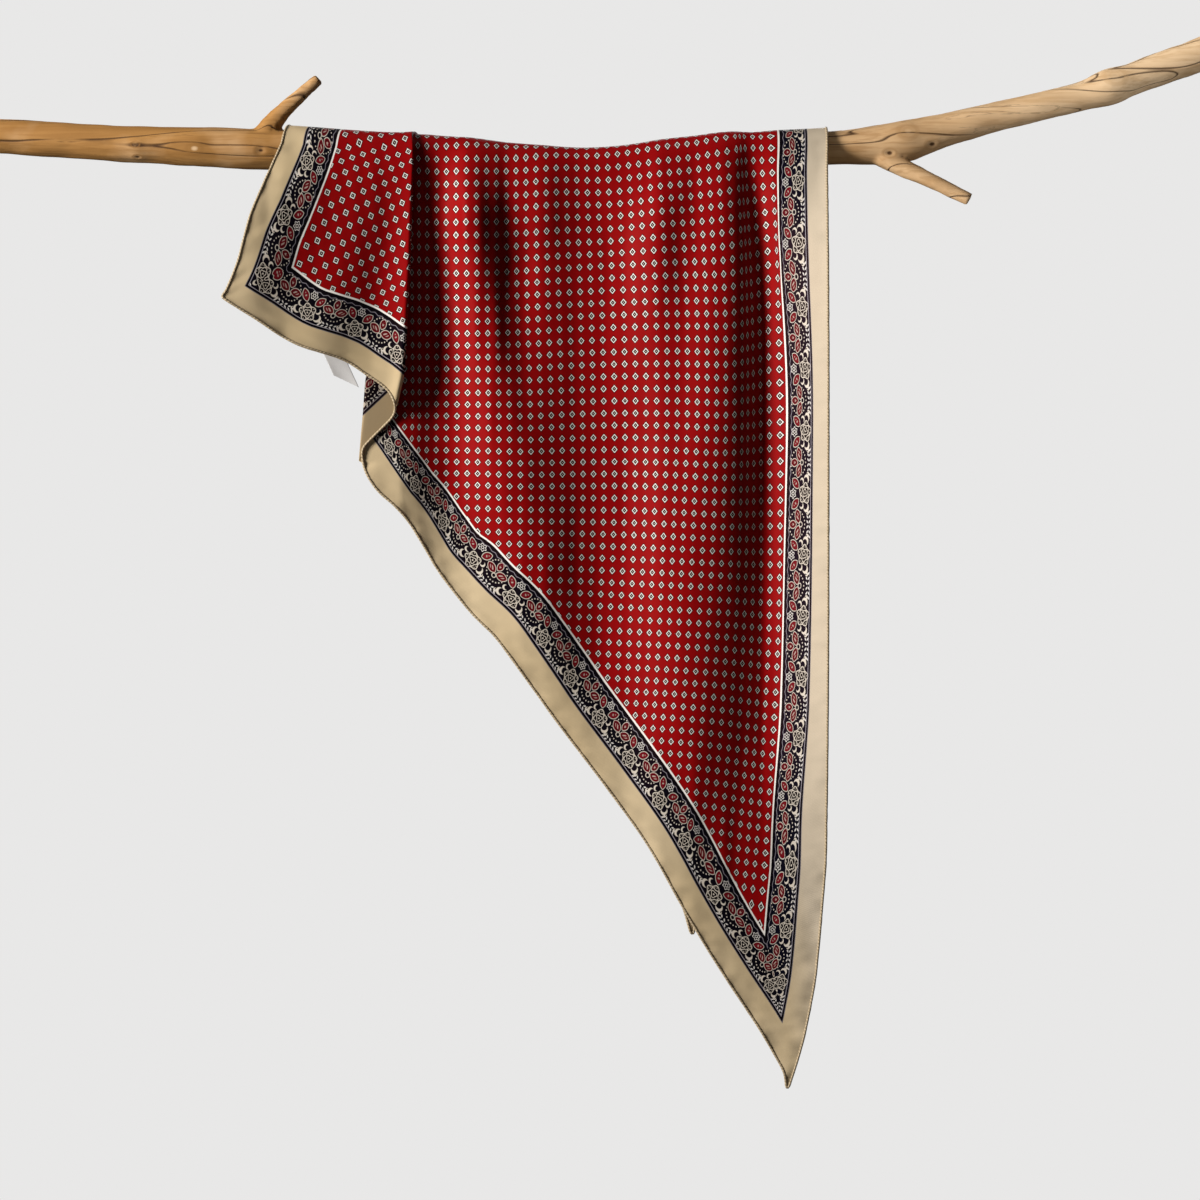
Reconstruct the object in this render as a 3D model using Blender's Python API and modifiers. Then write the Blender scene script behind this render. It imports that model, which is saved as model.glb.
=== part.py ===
"""Triangle scarf of silk satin, hung over a driftwood branch.

A right triangle of cloth lies over the branch with its long edge hanging down
the right side. One sharp corner hangs in front, the other behind. On the left
the front turns under and out again, so that a strip of its underside shows
and the square corner lies in front as a flap.

The origin is on the axis of the branch, under the middle of the cloth. X runs
along the branch, +Z is up and the front is -Y. Tables are in millimetres.
"Drop" is the way down the cloth from the level of the branch axis. On top of
the branch it is negative. "Lift" is how far the cloth stands off the branch.
"""

import math

import bmesh
import bpy
from mathutils import Vector

MM = 0.001

# Cloth
WALL = 1.2
WRAP_GAP = 0.6
SEAM_GAP = 0.3
SEAM_FACE = 0.1
HEM_RADIUS = 1.2
HEM_SIDES = 6
HEM_GAP = 0.6
EDGE_INSET = 2 * HEM_RADIUS + HEM_GAP
COLUMN_STEP = 14.0
FLAP_COLUMN_STEP = 10.0
ROW_STEP = 18.0
CORNER_ROW_STEP = 9.0
BACK_COLUMN_STEP = 15.0
BACK_ROW_STEP = 24.0

# Where the cloth rounds the branch
WRAP_RADIUS = 15.0
WRAP_ROWS = 6
CREST_DROP = -WRAP_RADIUS * math.pi / 2
LEVEL_DROP = 100.0

# Label
LABEL_THICKNESS = 0.8
LABEL_GAP = 0.5
LABEL_TUCK = 4.0
LABEL_BEHIND_HEM = 1.5

# Branch
BRANCH_SIDES = 14
BRANCH_STEP = 15.0
TWIG_SIDES = 10
TWIG_STEP = 8.0
SAW_HEIGHT = 400.0
BRANCH_ENDS = (-449.0, 518.0)

# x, y and z of the branch axis, and its radius
BRANCH = (
    ("x", "y", "z", "radius"),
    (-462, 7, 25, 12.4),
    (-405, 5, 22, 13.2),
    (-361, 3, 19.6, 14.1),
    (-283, 0, 15.7, 15.3),
    (-250, 0, 14.6, 16.2),
    (-212, 0, 13.3, 15.3),
    (-115, 0, 9.4, 14.3),
    (-47, 0, 3.1, 14.2),
    (24, 0, -1.4, 14.4),
    (94, 0, 2.4, 14.2),
    (149, 0, 10.2, 13.8),
    (212, 0, 13.7, 13.2),
    (251, -1, 15.7, 14.6),
    (272, -2, 19.6, 14.9),
    (288, -3, 24.0, 13.2),
    (345, -5, 39.3, 11.4),
    (410, -4, 55.0, 11.2),
    (432, -2, 62.0, 14.2),
    (452, 0, 69.6, 12.6),
    (502, 3, 87.9, 13.2),
    (532, 4, 98.5, 13.4),
)

# The sawn twigs, from their roots out
UPPER_TWIG = (
    ("x", "y", "z", "radius"),
    (-241, 1, 12, 11.0),
    (-233, -1, 26, 9.6),
    (-224, -3, 38, 7.4),
    (-209, -5, 52.5, 5.6),
    (-190, -7, 68.5, 4.7),
)
LOWER_TWIG = (
    ("x", "y", "z", "radius"),
    (248, -2, 12, 9.0),
    (262, -8, 2.5, 7.6),
    (292, -15, -13.5, 5.9),
    (321, -20, -28.5, 5.1),
)

# Outlines of the cloth, hems included
LONG_EDGE = (
    ("drop", "x"),
    (-24, 211.5),
    (0, 211.0),
    (20, 210.0),
    (70, 209.0),
    (420, 209.0),
    (531, 209.0),
    (550, 208.6),
    (583, 206.2),
    (615, 203.6),
    (641, 200.8),
    (667, 196.2),
    (693, 190.4),
    (718, 182.8),
    (728, 179.6),
)
FRONT_LEG = (
    ("drop", "x"),
    (233, -156.6),
    (241, -153.9),
    (256, -144.4),
    (268, -131.1),
    (281, -120.1),
    (299, -109.1),
    (318, -98.1),
    (338, -83.2),
    (353, -70.7),
    (371, -52.6),
    (390, -38.5),
    (414, -21.2),
    (435, -6.3),
    (486, 32.2),
    (531, 64.4),
    (555, 78.5),
    (574, 88.7),
    (608, 108.3),
    (643, 130.3),
    (675, 151.5),
    (703, 168.0),
    (713, 173.0),
    (728, 175.6),
)
FLAP_SIDE = (
    ("drop", "x"),
    (-24, -214.3),
    (0, -220.5),
    (28, -232.0),
    (52, -243.0),
    (78, -251.0),
    (103.6, -263.8),
)
FLAP_HEM = (
    ("drop", "x"),
    (103.6, -263.8),
    (122, -236.0),
    (142.9, -204.1),
    (155.8, -167.2),
    (167.2, -149.9),
    (175.8, -137.4),
    (183.7, -130.3),
    (192.3, -127.6),
)
UNDERSIDE_HEM = (
    ("drop", "x"),
    (192.3, -127.6),
    (200.2, -130.3),
    (208.0, -137.4),
    (218.2, -147.6),
    (227.7, -155.4),
    (233.0, -156.6),
)
BACK_LEFT = (
    ("drop", "x"),
    (-24, -214.3),
    (0, -205.0),
    (120, -143.0),
    (300, -51.0),
    (480, 42.0),
    (560, 84.0),
    (581, 93.8),
    (600, 99.7),
    (611, 102.6),
)
BACK_RIGHT = (
    ("drop", "x"),
    (-24, 211.5),
    (0, 210.0),
    (120, 193.0),
    (300, 163.0),
    (480, 131.0),
    (560, 115.0),
    (600, 108.6),
    (611, 107.4),
)

# The turn at the left: the outermost x of both bends, how far the cloth turns
# there in degrees, and the radius of the bends
TURN = (
    ("drop", "outer", "inner", "turn", "radius"),
    (-24, -115.6, -116.2, 52, 2.2),
    (-12, -118.4, -116.6, 115, 1.6),
    (0, -122.0, -117.0, 165, 1.4),
    (20, -125.2, -117.6, 180, 1.7),
    (50, -130.0, -118.7, 180, 2.3),
    (100, -139.0, -120.4, 180, 3.0),
    (162, -150.4, -122.5, 180, 3.5),
    (176, -152.0, -125.0, 180, 3.4),
    (192.3, -153.2, -127.6, 180, 3.1),
    (233, -156.6, -152.0, 180, 2.4),
)
TURN_STRAIGHT = 1.5

# Soft folds of the front: where the crest lies, how wide it is to the left
# and to the right, and how far it stands out, at each of these drops
FOLD_DROPS = (-24, 0, 60, 150, 300, 450, 600, 730)
FRONT_FOLDS = (
    ("name", "x", "left", "right", "lift"),
    (
        "left crease",
        (-70, -67, -65, -60, -34, 0, 40, 80),
        (13, 14, 16, 22, 40, 40, 40, 40),
        (12, 13, 16, 18, 26, 40, 40, 40),
        (1.6, 5.0, 8.0, 10.0, 7.0, 0, 0, 0),
    ),
    (
        "second crease",
        (-26, -24, -19, -8, 10, 30, 60, 90),
        (11, 12, 13, 20, 30, 30, 30, 30),
        (11, 12, 14, 18, 30, 30, 30, 30),
        (1.3, 4.2, 6.0, 3.0, 0, 0, 0, 0),
    ),
    (
        "middle crease",
        (30, 30, 31, 34, 40, 50, 70, 90),
        (12, 13, 15, 20, 30, 30, 30, 30),
        (12, 13, 14, 18, 30, 30, 30, 30),
        (1.2, 3.4, 4.4, 1.6, 0, 0, 0, 0),
    ),
    (
        "fourth crease",
        (80, 79, 78, 77, 78, 90, 100, 110),
        (13, 14, 18, 30, 30, 30, 30, 30),
        (9, 10, 12, 16, 30, 30, 30, 30),
        (1.4, 4.0, 5.4, 3.0, 0, 0, 0, 0),
    ),
    (
        "long fold",
        (128, 127, 127, 129, 123, 113, 138, 170),
        (14, 16, 26, 44, 58, 60, 40, 30),
        (9, 10, 15, 19, 24, 32, 34, 30),
        (2.4, 7.0, 12.0, 14.0, 17.0, 11.0, 4.0, 0),
    ),
    (
        "edge crease",
        (166, 167, 170, 172, 172, 172, 172, 172),
        (8, 9, 10, 10, 12, 12, 12, 12),
        (9, 10, 12, 12, 12, 12, 12, 12),
        (1.8, 3.4, 3.0, 1.0, 0, 0, 0, 0),
    ),
)

# The whole front: how far its left end, its middle, its right end and the
# curled long edge stand out
FRONT_STANCE = (
    ("drop", "left", "middle", "right", "edge"),
    (-24, 0.2, 0.0, 0.0, 0.6),
    (0, 1.5, 0.8, 1.5, 8.0),
    (60, 4.0, 2.0, 7.0, 22.0),
    (150, 3.0, 2.0, 9.5, 29.0),
    (300, 3.0, 2.5, 10.0, 30.0),
    (450, 5.0, 4.0, 8.5, 22.0),
    (600, 7.0, 7.0, 8.0, 10.0),
    (730, 9.0, 9.0, 9.0, 3.0),
)
STANCE_X = (-120.0, 30.0, 160.0)
CURL_WIDTH = 58.0

# The flap: how far it stands out at its left side, and its two soft waves
FLAP_STANCE = (
    ("drop", "side", "wave"),
    (-24, 0.3, 0.4),
    (0, 2.0, 1.2),
    (60, 4.0, 3.0),
    (120, 6.0, 4.0),
    (195, 8.0, 3.0),
)
FLAP_WAVE_LENGTH = 62.0
FLAP_WAVE_LEAN = 0.35
FLAP_SETTLE = 45.0

# Soft folds of the back, at shares of its width from left to right
BACK_DROPS = (-24, 0, 60, 200, 400, 610)
BACK_FOLDS = (
    ("share", "left", "right", "lift"),
    (0.232, 0.050, 0.012, (3.4, 5.5, 9.0, 7.0, 3.0, 1.0)),
    (0.340, 0.032, 0.032, (1.6, 4.0, 5.0, 3.0, 1.0, 0)),
    (0.440, 0.030, 0.034, (1.3, 4.0, 7.0, 9.0, 6.0, 1.5)),
    (0.572, 0.034, 0.034, (1.2, 3.0, 5.0, 4.0, 2.0, 0)),
    (0.690, 0.036, 0.030, (1.4, 4.0, 8.0, 12.0, 8.0, 2.0)),
    (0.805, 0.036, 0.026, (2.4, 6.0, 8.0, 7.0, 3.0, 1.0)),
    (0.905, 0.030, 0.030, (1.8, 4.0, 8.0, 10.0, 6.0, 1.5)),
)
BACK_STANCE = (
    ("drop", "left", "right"),
    (-24, 0.2, 0.4),
    (0, 1.0, 1.0),
    (60, 2.0, 3.0),
    (300, 4.0, 6.0),
    (610, 2.0, 2.0),
)

# Corners of the label below the hem, from its sewn end
LABEL_CORNERS = (
    ("x", "z"),
    (-187.5, -145.0),
    (-167.5, -154.5),
    (-157.7, -175.5),
    (-177.7, -166.0),
)


def column(table, name):
    """One named column of a table whose first row holds the names."""
    place = table[0].index(name)
    return [row[place] for row in table[1:]]


def glide(stations, values, at):
    """Read a smooth curve through stations and values, with no overshoot."""
    if at <= stations[0]:
        return values[0]
    if at >= stations[-1]:
        return values[-1]
    steps = [b - a for a, b in zip(stations, stations[1:])]
    grades = [(b - a) / s for a, b, s in zip(values, values[1:], steps)]
    slopes = [grades[0]]
    for before, after in zip(grades, grades[1:]):
        turning = before * after <= 0
        slopes.append(0.0 if turning else 2 * before * after / (before + after))
    slopes.append(grades[-1])
    i = max(k for k, s in enumerate(stations[:-1]) if s <= at)
    u = (at - stations[i]) / steps[i]
    return (
        values[i] * (1 + 2 * u) * (1 - u) ** 2
        + values[i + 1] * u * u * (3 - 2 * u)
        + steps[i] * (slopes[i] * u * (1 - u) ** 2 - slopes[i + 1] * u * u * (1 - u))
    )


def read(table, key, name, at):
    return glide(column(table, key), column(table, name), at)


def ease(value):
    """0 below 0, 1 above 1 and smooth between."""
    value = min(max(value, 0.0), 1.0)
    return value * value * (3 - 2 * value)


def ridge(x, crest, left, right):
    """A soft ridge with its own width on each side."""
    width = left if x < crest else right
    return math.exp(-(((x - crest) / width) ** 2))


def on_cloth(side, x, drop, lift):
    """The point at x and drop; side is -1 in front and 1 behind."""
    radius = read(BRANCH, "x", "radius", x) + WRAP_GAP + WALL / 2 + lift
    axis = read(BRANCH, "x", "z", x)
    if drop < 0:
        angle = -drop / WRAP_RADIUS
        return Vector((x, side * radius * math.cos(angle), axis + radius * math.sin(angle)))
    return Vector((x, side * radius, axis * (1 - ease(drop / LEVEL_DROP)) - drop))


def front_lift(x, drop):
    """How far the front panel stands off the branch."""
    stance = [read(FRONT_STANCE, "drop", name, drop) for name in ("left", "middle", "right")]
    lift = glide(STANCE_X, stance, x)
    right = read(LONG_EDGE, "drop", "x", drop)
    curl = max(0.0, 1 - (right - x) / CURL_WIDTH)
    lift += read(FRONT_STANCE, "drop", "edge", drop) * curl ** 1.4
    for _, crests, lefts, rights, lifts in FRONT_FOLDS[1:]:
        crest = glide(FOLD_DROPS, crests, drop)
        left = glide(FOLD_DROPS, lefts, drop)
        width = glide(FOLD_DROPS, rights, drop)
        lift += glide(FOLD_DROPS, lifts, drop) * ridge(x, crest, left, width)
    return lift


def turn_at(drop):
    """Sizes of the turn: start x, turning angle, bend radius and straight."""
    outer = read(TURN, "drop", "outer", drop)
    inner = read(TURN, "drop", "inner", drop)
    angle = math.radians(read(TURN, "drop", "turn", drop))
    radius = read(TURN, "drop", "radius", drop)
    start = outer + radius * math.sin(min(angle, math.pi / 2))
    straight = max(inner - outer - 2 * radius, TURN_STRAIGHT)
    return start, angle, radius, straight


def bend(start, heading_from, heading_to, radius, steps):
    """Points of an arc in plan; a heading of 0 goes left, 90 degrees outward."""
    x, lift = start
    sense = 1 if heading_to > heading_from else -1
    points = []
    for k in range(1, steps + 1):
        heading = heading_from + (heading_to - heading_from) * k / steps
        points.append((
            x - sense * radius * (math.sin(heading) - math.sin(heading_from)),
            lift - sense * radius * (math.cos(heading) - math.cos(heading_from)),
        ))
    return points


def seam_trim(radius):
    """Half of a seam's gap as an angle, measured on the inside of the bend."""
    return SEAM_GAP / 2 / (radius - WALL / 2)


def spaced(first, last, step):
    """Values from first to last, evenly, about step apart."""
    count = max(1, round(abs(last - first) / step))
    return [first + (last - first) * k / count for k in range(count + 1)]


def front_plan(drop):
    """Plan of the front panel, from the long edge to its left end."""
    right = read(LONG_EDGE, "drop", "x", drop) - EDGE_INSET
    fold_end = column(UNDERSIDE_HEM, "drop")[-1]
    if drop > fold_end:
        left = read(FRONT_LEG, "drop", "x", drop) + EDGE_INSET * 1.3
        left = min(left, right - 1.5)
        return [(x, front_lift(x, drop)) for x in spaced(right, left, COLUMN_STEP)]
    start, angle, radius, _ = turn_at(drop)
    plan = [(x, front_lift(x, drop)) for x in spaced(right, start, COLUMN_STEP)]
    seam = angle / 2 - seam_trim(radius)
    plan += bend(plan[-1], 0.0, seam - SEAM_FACE, radius, 3)
    return plan + bend(plan[-1], seam - SEAM_FACE, seam, radius, 1)


def underside_plan(drop):
    """Plan of the strip whose underside shows, from the outer bend inward."""
    start, angle, radius, straight = turn_at(drop)
    seam = angle / 2 + seam_trim(radius)
    ground = (start, front_lift(start, drop))
    first = bend(ground, 0.0, seam, radius, 1)
    first += bend(first[-1], seam, seam + SEAM_FACE, radius, 1)
    first += bend(first[-1], seam + SEAM_FACE, angle, radius, 3)
    x, lift = first[-1]
    hem_starts = column(UNDERSIDE_HEM, "drop")[0]
    if drop > hem_starts - EDGE_INSET:
        hem = read(UNDERSIDE_HEM, "drop", "x", drop + EDGE_INSET * 1.3)
        straight = max(0.8, hem - x)
        run = spaced(0.0, straight, FLAP_COLUMN_STEP)[1:]
        return first + [(x + s, lift) for s in run]
    run = [
        (x - s * math.cos(angle), lift + s * math.sin(angle))
        for s in spaced(0.0, straight, FLAP_COLUMN_STEP)[1:]
    ]
    plan = first + run + bend(run[-1], angle, seam + SEAM_FACE, radius, 3)
    return plan + bend(plan[-1], seam + SEAM_FACE, seam, radius, 1)


def flap_plan(drop):
    """Plan of the flap, from the inner bend to its left side or its hem."""
    start, angle, radius, straight = turn_at(drop)
    seam = angle / 2 - seam_trim(radius)
    ground = front_lift(start, drop)
    x = start - radius * math.sin(angle) - straight * math.cos(angle)
    lift = ground + radius * (1 - math.cos(angle)) + straight * math.sin(angle)
    plan = bend((x, lift), angle, seam, radius, 1)
    plan += bend(plan[-1], seam, seam - SEAM_FACE, radius, 1)
    plan += bend(plan[-1], seam - SEAM_FACE, 0.0, radius, 3)
    corner = column(FLAP_SIDE, "drop")[-1]
    if drop < corner - EDGE_INSET:
        left = read(FLAP_SIDE, "drop", "x", drop) + EDGE_INSET * 1.1
    else:
        left = read(FLAP_HEM, "drop", "x", drop + EDGE_INSET * 1.2)
    x, top = plan[-1]
    outer = read(TURN, "drop", "outer", drop)
    side = read(FLAP_STANCE, "drop", "side", drop)
    wave = read(FLAP_STANCE, "drop", "wave", drop)
    if left > x - 1.0:
        return [point for point in plan if point[0] > left] or plan[:2]
    for x in spaced(x, left, FLAP_COLUMN_STEP)[1:]:
        away = ease((outer - x) / FLAP_SETTLE)
        phase = (outer - x - drop * FLAP_WAVE_LEAN) / FLAP_WAVE_LENGTH
        rest = side + wave * math.sin(phase * 2 * math.pi)
        plan.append((x, top * (1 - away) + rest * away))
    return plan


def back_lift(x, drop, left, right):
    """How far the back panel stands off the branch."""
    share = (x - left) / (right - left)
    near = read(BACK_STANCE, "drop", "left", drop)
    far = read(BACK_STANCE, "drop", "right", drop)
    lift = near + (far - near) * ease(share)
    for place, wide_left, wide_right, lifts in BACK_FOLDS[1:]:
        lift += glide(BACK_DROPS, lifts, drop) * ridge(share, place, wide_left, wide_right)
    return lift


def back_plan(drop):
    """Plan of the back panel, from its right edge to its left."""
    left = read(BACK_LEFT, "drop", "x", drop) + EDGE_INSET * 1.1
    right = read(BACK_RIGHT, "drop", "x", drop) - EDGE_INSET
    right = max(right, left + 1.5)
    return [(x, back_lift(x, drop, left, right)) for x in spaced(right, left, BACK_COLUMN_STEP)]


def drops_between(first, last, step):
    """Drops of the rows: close together over the branch, then about a step apart."""
    crest = CREST_DROP + SEAM_GAP / 2
    rows = []
    if first < 0:
        rows = [crest * (1 - k / WRAP_ROWS) for k in range(WRAP_ROWS)]
        rows += [0.0, step * 0.5]
        first = step
    return rows + spaced(first, last, step)


def rows_of(plan_of, side, drops):
    """World points of each row, in metres."""
    rows = []
    for drop in drops:
        rows.append([on_cloth(side, x, drop, lift) * MM for x, lift in plan_of(drop)])
    return rows


def principled(name, colour, roughness, metallic=0.0):
    material = bpy.data.materials.new(name)
    material.use_nodes = True
    shader = material.node_tree.nodes["Principled BSDF"]
    shader.inputs["Base Color"].default_value = (*colour, 1.0)
    shader.inputs["Roughness"].default_value = roughness
    shader.inputs["Metallic"].default_value = metallic
    material.diffuse_color = (*colour, 1.0)
    return material


def add_object(name, data, collection, material):
    obj = bpy.data.objects.new(name, data)
    collection.objects.link(obj)
    data.materials.append(material)
    return obj


def loft(name, rows):
    """A surface of triangles between rows of unlike length."""
    form = bmesh.new()
    grid = [[form.verts.new(point) for point in row] for row in rows]
    for upper, lower in zip(grid, grid[1:]):
        i = j = 0
        while i < len(upper) - 1 or j < len(lower) - 1:
            along_upper = math.inf
            along_lower = math.inf
            if i < len(upper) - 1:
                along_upper = (upper[i + 1].co - lower[j].co).length
            if j < len(lower) - 1:
                along_lower = (lower[j + 1].co - upper[i].co).length
            if along_upper < along_lower:
                form.faces.new((upper[i], lower[j], upper[i + 1]))
                i += 1
            else:
                form.faces.new((upper[i], lower[j], lower[j + 1]))
                j += 1
    mesh = bpy.data.meshes.new(name)
    form.to_mesh(mesh)
    form.free()
    return mesh


def cloth_wall(name, rows, collection, material):
    """A wall of cloth on the surface through the rows."""
    obj = add_object(name, loft(name, rows), collection, material)
    obj.data.shade_smooth()
    wall = obj.modifiers.new("Wall", "SOLIDIFY")
    wall.thickness = WALL * MM
    wall.offset = 0.0
    return obj


def hem_roll(name, edge, inside, collection, material):
    """A rolled hem that runs beside an edge, just clear of the wall."""
    reach = (HEM_RADIUS + HEM_GAP) * MM
    path = []
    for i, point in enumerate(edge):
        along = edge[min(i + 1, len(edge) - 1)] - edge[max(i - 1, 0)]
        along.normalize()
        out = point - inside[i]
        out -= along * out.dot(along)
        path.append(point + out.normalized() * reach)
    points = [(*point, HEM_RADIUS * MM) for point in path]
    return tube(name, points, HEM_SIDES, collection, material)


def tube(name, points, sides, collection, material):
    """A capped tube with its own radius at each point."""
    curve = bpy.data.curves.new(name, "CURVE")
    curve.dimensions = "3D"
    curve.bevel_depth = 1.0
    curve.bevel_resolution = max(0, sides // 2 - 2)
    curve.use_fill_caps = True
    curve.twist_mode = "MINIMUM"
    spline = curve.splines.new("POLY")
    spline.points.add(len(points) - 1)
    for target, (x, y, z, radius) in zip(spline.points, points):
        target.co = (x, y, z, 1.0)
        target.radius = radius
    return add_object(name, curve, collection, material)


def limb_points(table, step):
    """Points of a limb, read from a smooth curve along its table."""
    xs = column(table, "x")
    points = []
    for x in spaced(xs[0], xs[-1], step):
        y, z, radius = (read(table, "x", name, x) for name in ("y", "z", "radius"))
        points.append((x * MM, y * MM, z * MM, radius * MM))
    return points


def as_mesh(obj, collection):
    """The same shape as a closed mesh object, in place of a curve."""
    name = obj.name
    material = obj.data.materials[0]
    depsgraph = bpy.context.evaluated_depsgraph_get()
    mesh = bpy.data.meshes.new_from_object(obj.evaluated_get(depsgraph))
    form = bmesh.new()
    form.from_mesh(mesh)
    bmesh.ops.remove_doubles(form, verts=form.verts, dist=0.00001)
    bmesh.ops.recalc_face_normals(form, faces=form.faces)
    form.to_mesh(mesh)
    form.free()
    matrix = obj.matrix_world.copy()
    bpy.data.objects.remove(obj)
    mesh.materials.clear()
    solid = add_object(name, mesh, collection, material)
    solid.matrix_world = matrix
    return solid


def join(target, cutter, operation):
    step = target.modifiers.new(operation.title(), "BOOLEAN")
    step.operation = operation
    step.object = cutter
    step.solver = "EXACT"
    cutter.hide_render = True
    cutter.display_type = "WIRE"


def add_branch(collection, cutters, wood):
    """The branch, its two twigs, and its upright sawn ends."""
    limb = tube("branch", limb_points(BRANCH, BRANCH_STEP), BRANCH_SIDES, collection, wood)
    branch = as_mesh(limb, collection)
    for name, table in (("upper_twig", UPPER_TWIG), ("lower_twig", LOWER_TWIG)):
        limb = tube(name, limb_points(table, TWIG_STEP), TWIG_SIDES, cutters, wood)
        twig = as_mesh(limb, cutters)
        join(branch, twig, "UNION")
    left, right = BRANCH_ENDS
    bpy.ops.mesh.primitive_cube_add(size=1.0)
    saw = bpy.context.object
    saw.name = "saw_planes"
    for owner in saw.users_collection:
        owner.objects.unlink(saw)
    cutters.objects.link(saw)
    saw.location = ((left + right) / 2 * MM, 0.0, 0.0)
    saw.scale = ((right - left) * MM, SAW_HEIGHT * MM, SAW_HEIGHT * MM)
    join(branch, saw, "INTERSECT")
    branch.data.set_sharp_from_angle(angle=math.radians(40))
    return branch


def add_label(collection, material):
    """The label that is sewn in under the hem of the flap."""
    corners = [Vector((x, 0.0, z)) for x, z in LABEL_CORNERS[1:]]
    down = (corners[3] - corners[0]).normalized()
    corners[0] -= down * LABEL_TUCK
    corners[1] -= down * LABEL_TUCK
    curve = bpy.data.curves.new("care_label", "CURVE")
    curve.dimensions = "2D"
    curve.fill_mode = "BOTH"
    curve.extrude = LABEL_THICKNESS / 2 * MM
    spline = curve.splines.new("POLY")
    spline.points.add(3)
    for target, corner in zip(spline.points, corners):
        target.co = (corner.x * MM, corner.z * MM, 0.0, 1.0)
    spline.use_cyclic_u = True
    label = add_object("care_label", curve, collection, material)
    label.rotation_euler = (math.pi / 2, 0.0, 0.0)
    lifts = []
    for corner in corners[:2]:
        plan = flap_plan(-corner.z - LABEL_TUCK)
        nearest = min(plan, key=lambda point: abs(point[0] - corner.x))
        lifts.append(nearest[1])
    depth = on_cloth(-1, corners[0].x, -corners[0].z, min(lifts)).y
    depth += HEM_RADIUS + LABEL_GAP + LABEL_THICKNESS / 2 + LABEL_BEHIND_HEM
    label.location.y = depth * MM
    return label


def build():
    for obj in list(bpy.data.objects):
        bpy.data.objects.remove(obj)
    scarf = bpy.data.collections.new("Triangle scarf on a branch")
    cutters = bpy.data.collections.new("Cutters")
    bpy.context.scene.collection.children.link(scarf)
    bpy.context.scene.collection.children.link(cutters)

    satin = principled("Red printed satin", (0.33, 0.02, 0.03), 0.35)
    underside = principled("Satin underside", (0.30, 0.20, 0.12), 0.45)
    reverse = principled("Satin reverse", (0.24, 0.03, 0.04), 0.45)
    border = principled("Beige satin hem", (0.62, 0.47, 0.32), 0.4)
    tape = principled("White label tape", (0.86, 0.85, 0.83), 0.5)
    wood = principled("Driftwood", (0.60, 0.44, 0.28), 0.8)

    add_branch(scarf, cutters, wood)

    hem_start, hem_end = column(UNDERSIDE_HEM, "drop")[0], column(UNDERSIDE_HEM, "drop")[-1]
    corner = column(FLAP_SIDE, "drop")[-1]
    tip = column(FRONT_LEG, "drop")[-1] - EDGE_INSET
    back_tip = column(BACK_LEFT, "drop")[-1] - EDGE_INSET

    # The three stretches in front share their rows, so their seams match
    above = drops_between(CREST_DROP, corner, ROW_STEP)
    beside = spaced(corner, hem_end - 2.0, CORNER_ROW_STEP)[1:]
    below = spaced(hem_end + 2.0, tip, ROW_STEP)

    front = rows_of(front_plan, -1, above + beside + below)
    cloth_wall("front_panel", front, scarf, satin)
    hem_roll("hem_front_long_edge", [r[0] for r in front], [r[1] for r in front], scarf, border)
    leg = front[-len(below):-1]
    hem_roll("hem_front_leg", [r[-1] for r in leg], [r[-2] for r in leg], scarf, border)

    strip = rows_of(underside_plan, -1, above + beside)
    cloth_wall("turned_underside", strip, scarf, underside)
    edge = [row for row, drop in zip(strip, above + beside) if drop > hem_start]
    hem_roll("hem_underside", [r[-1] for r in edge], [r[-2] for r in edge], scarf, border)

    kept = [drop for drop in beside if drop < hem_start - EDGE_INSET]
    flap = rows_of(flap_plan, -1, above + kept)
    cloth_wall("corner_flap", flap, scarf, satin)
    side = flap[:len(above)]
    hem_roll("hem_flap_side", [r[-1] for r in side], [r[-2] for r in side], scarf, border)
    edge = flap[len(above):-1]
    hem_roll("hem_flap_lower", [r[-1] for r in edge], [r[-2] for r in edge], scarf, border)

    back = rows_of(back_plan, 1, drops_between(CREST_DROP, back_tip, BACK_ROW_STEP))
    cloth_wall("back_panel", back, scarf, reverse)
    hem_roll("hem_back_long_edge", [r[0] for r in back], [r[1] for r in back], scarf, border)
    hem_roll("hem_back_leg", [r[-1] for r in back[:-1]], [r[-2] for r in back[:-1]], scarf, border)

    add_label(scarf, tape)


build()
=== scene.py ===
"""The looks of a triangle scarf of printed silk satin over a driftwood branch.

Sizes in the tables are millimetres, as in the solids. "Drop" is the way down
the cloth from the level of the branch axis, negative on top of the branch, and
"lift" is how far the cloth stands off the branch.
"""

import math

import bmesh
import bpy
import numpy as np
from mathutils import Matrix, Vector, noise


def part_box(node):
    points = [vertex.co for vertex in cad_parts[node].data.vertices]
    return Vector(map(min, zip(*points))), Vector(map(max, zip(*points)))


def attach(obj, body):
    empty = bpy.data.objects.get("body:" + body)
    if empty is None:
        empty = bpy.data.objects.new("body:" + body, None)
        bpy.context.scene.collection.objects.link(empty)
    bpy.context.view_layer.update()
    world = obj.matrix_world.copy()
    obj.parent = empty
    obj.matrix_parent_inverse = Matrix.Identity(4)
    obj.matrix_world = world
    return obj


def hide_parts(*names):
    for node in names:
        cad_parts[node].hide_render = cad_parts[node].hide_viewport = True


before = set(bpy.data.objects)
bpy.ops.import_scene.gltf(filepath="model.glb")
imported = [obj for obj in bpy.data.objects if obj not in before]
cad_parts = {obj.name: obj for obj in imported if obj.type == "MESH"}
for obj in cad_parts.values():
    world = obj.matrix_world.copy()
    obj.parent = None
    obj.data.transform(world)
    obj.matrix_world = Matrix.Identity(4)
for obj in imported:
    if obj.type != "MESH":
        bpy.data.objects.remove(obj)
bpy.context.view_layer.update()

MM = 0.001
ROOT2 = math.sqrt(2)

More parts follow.
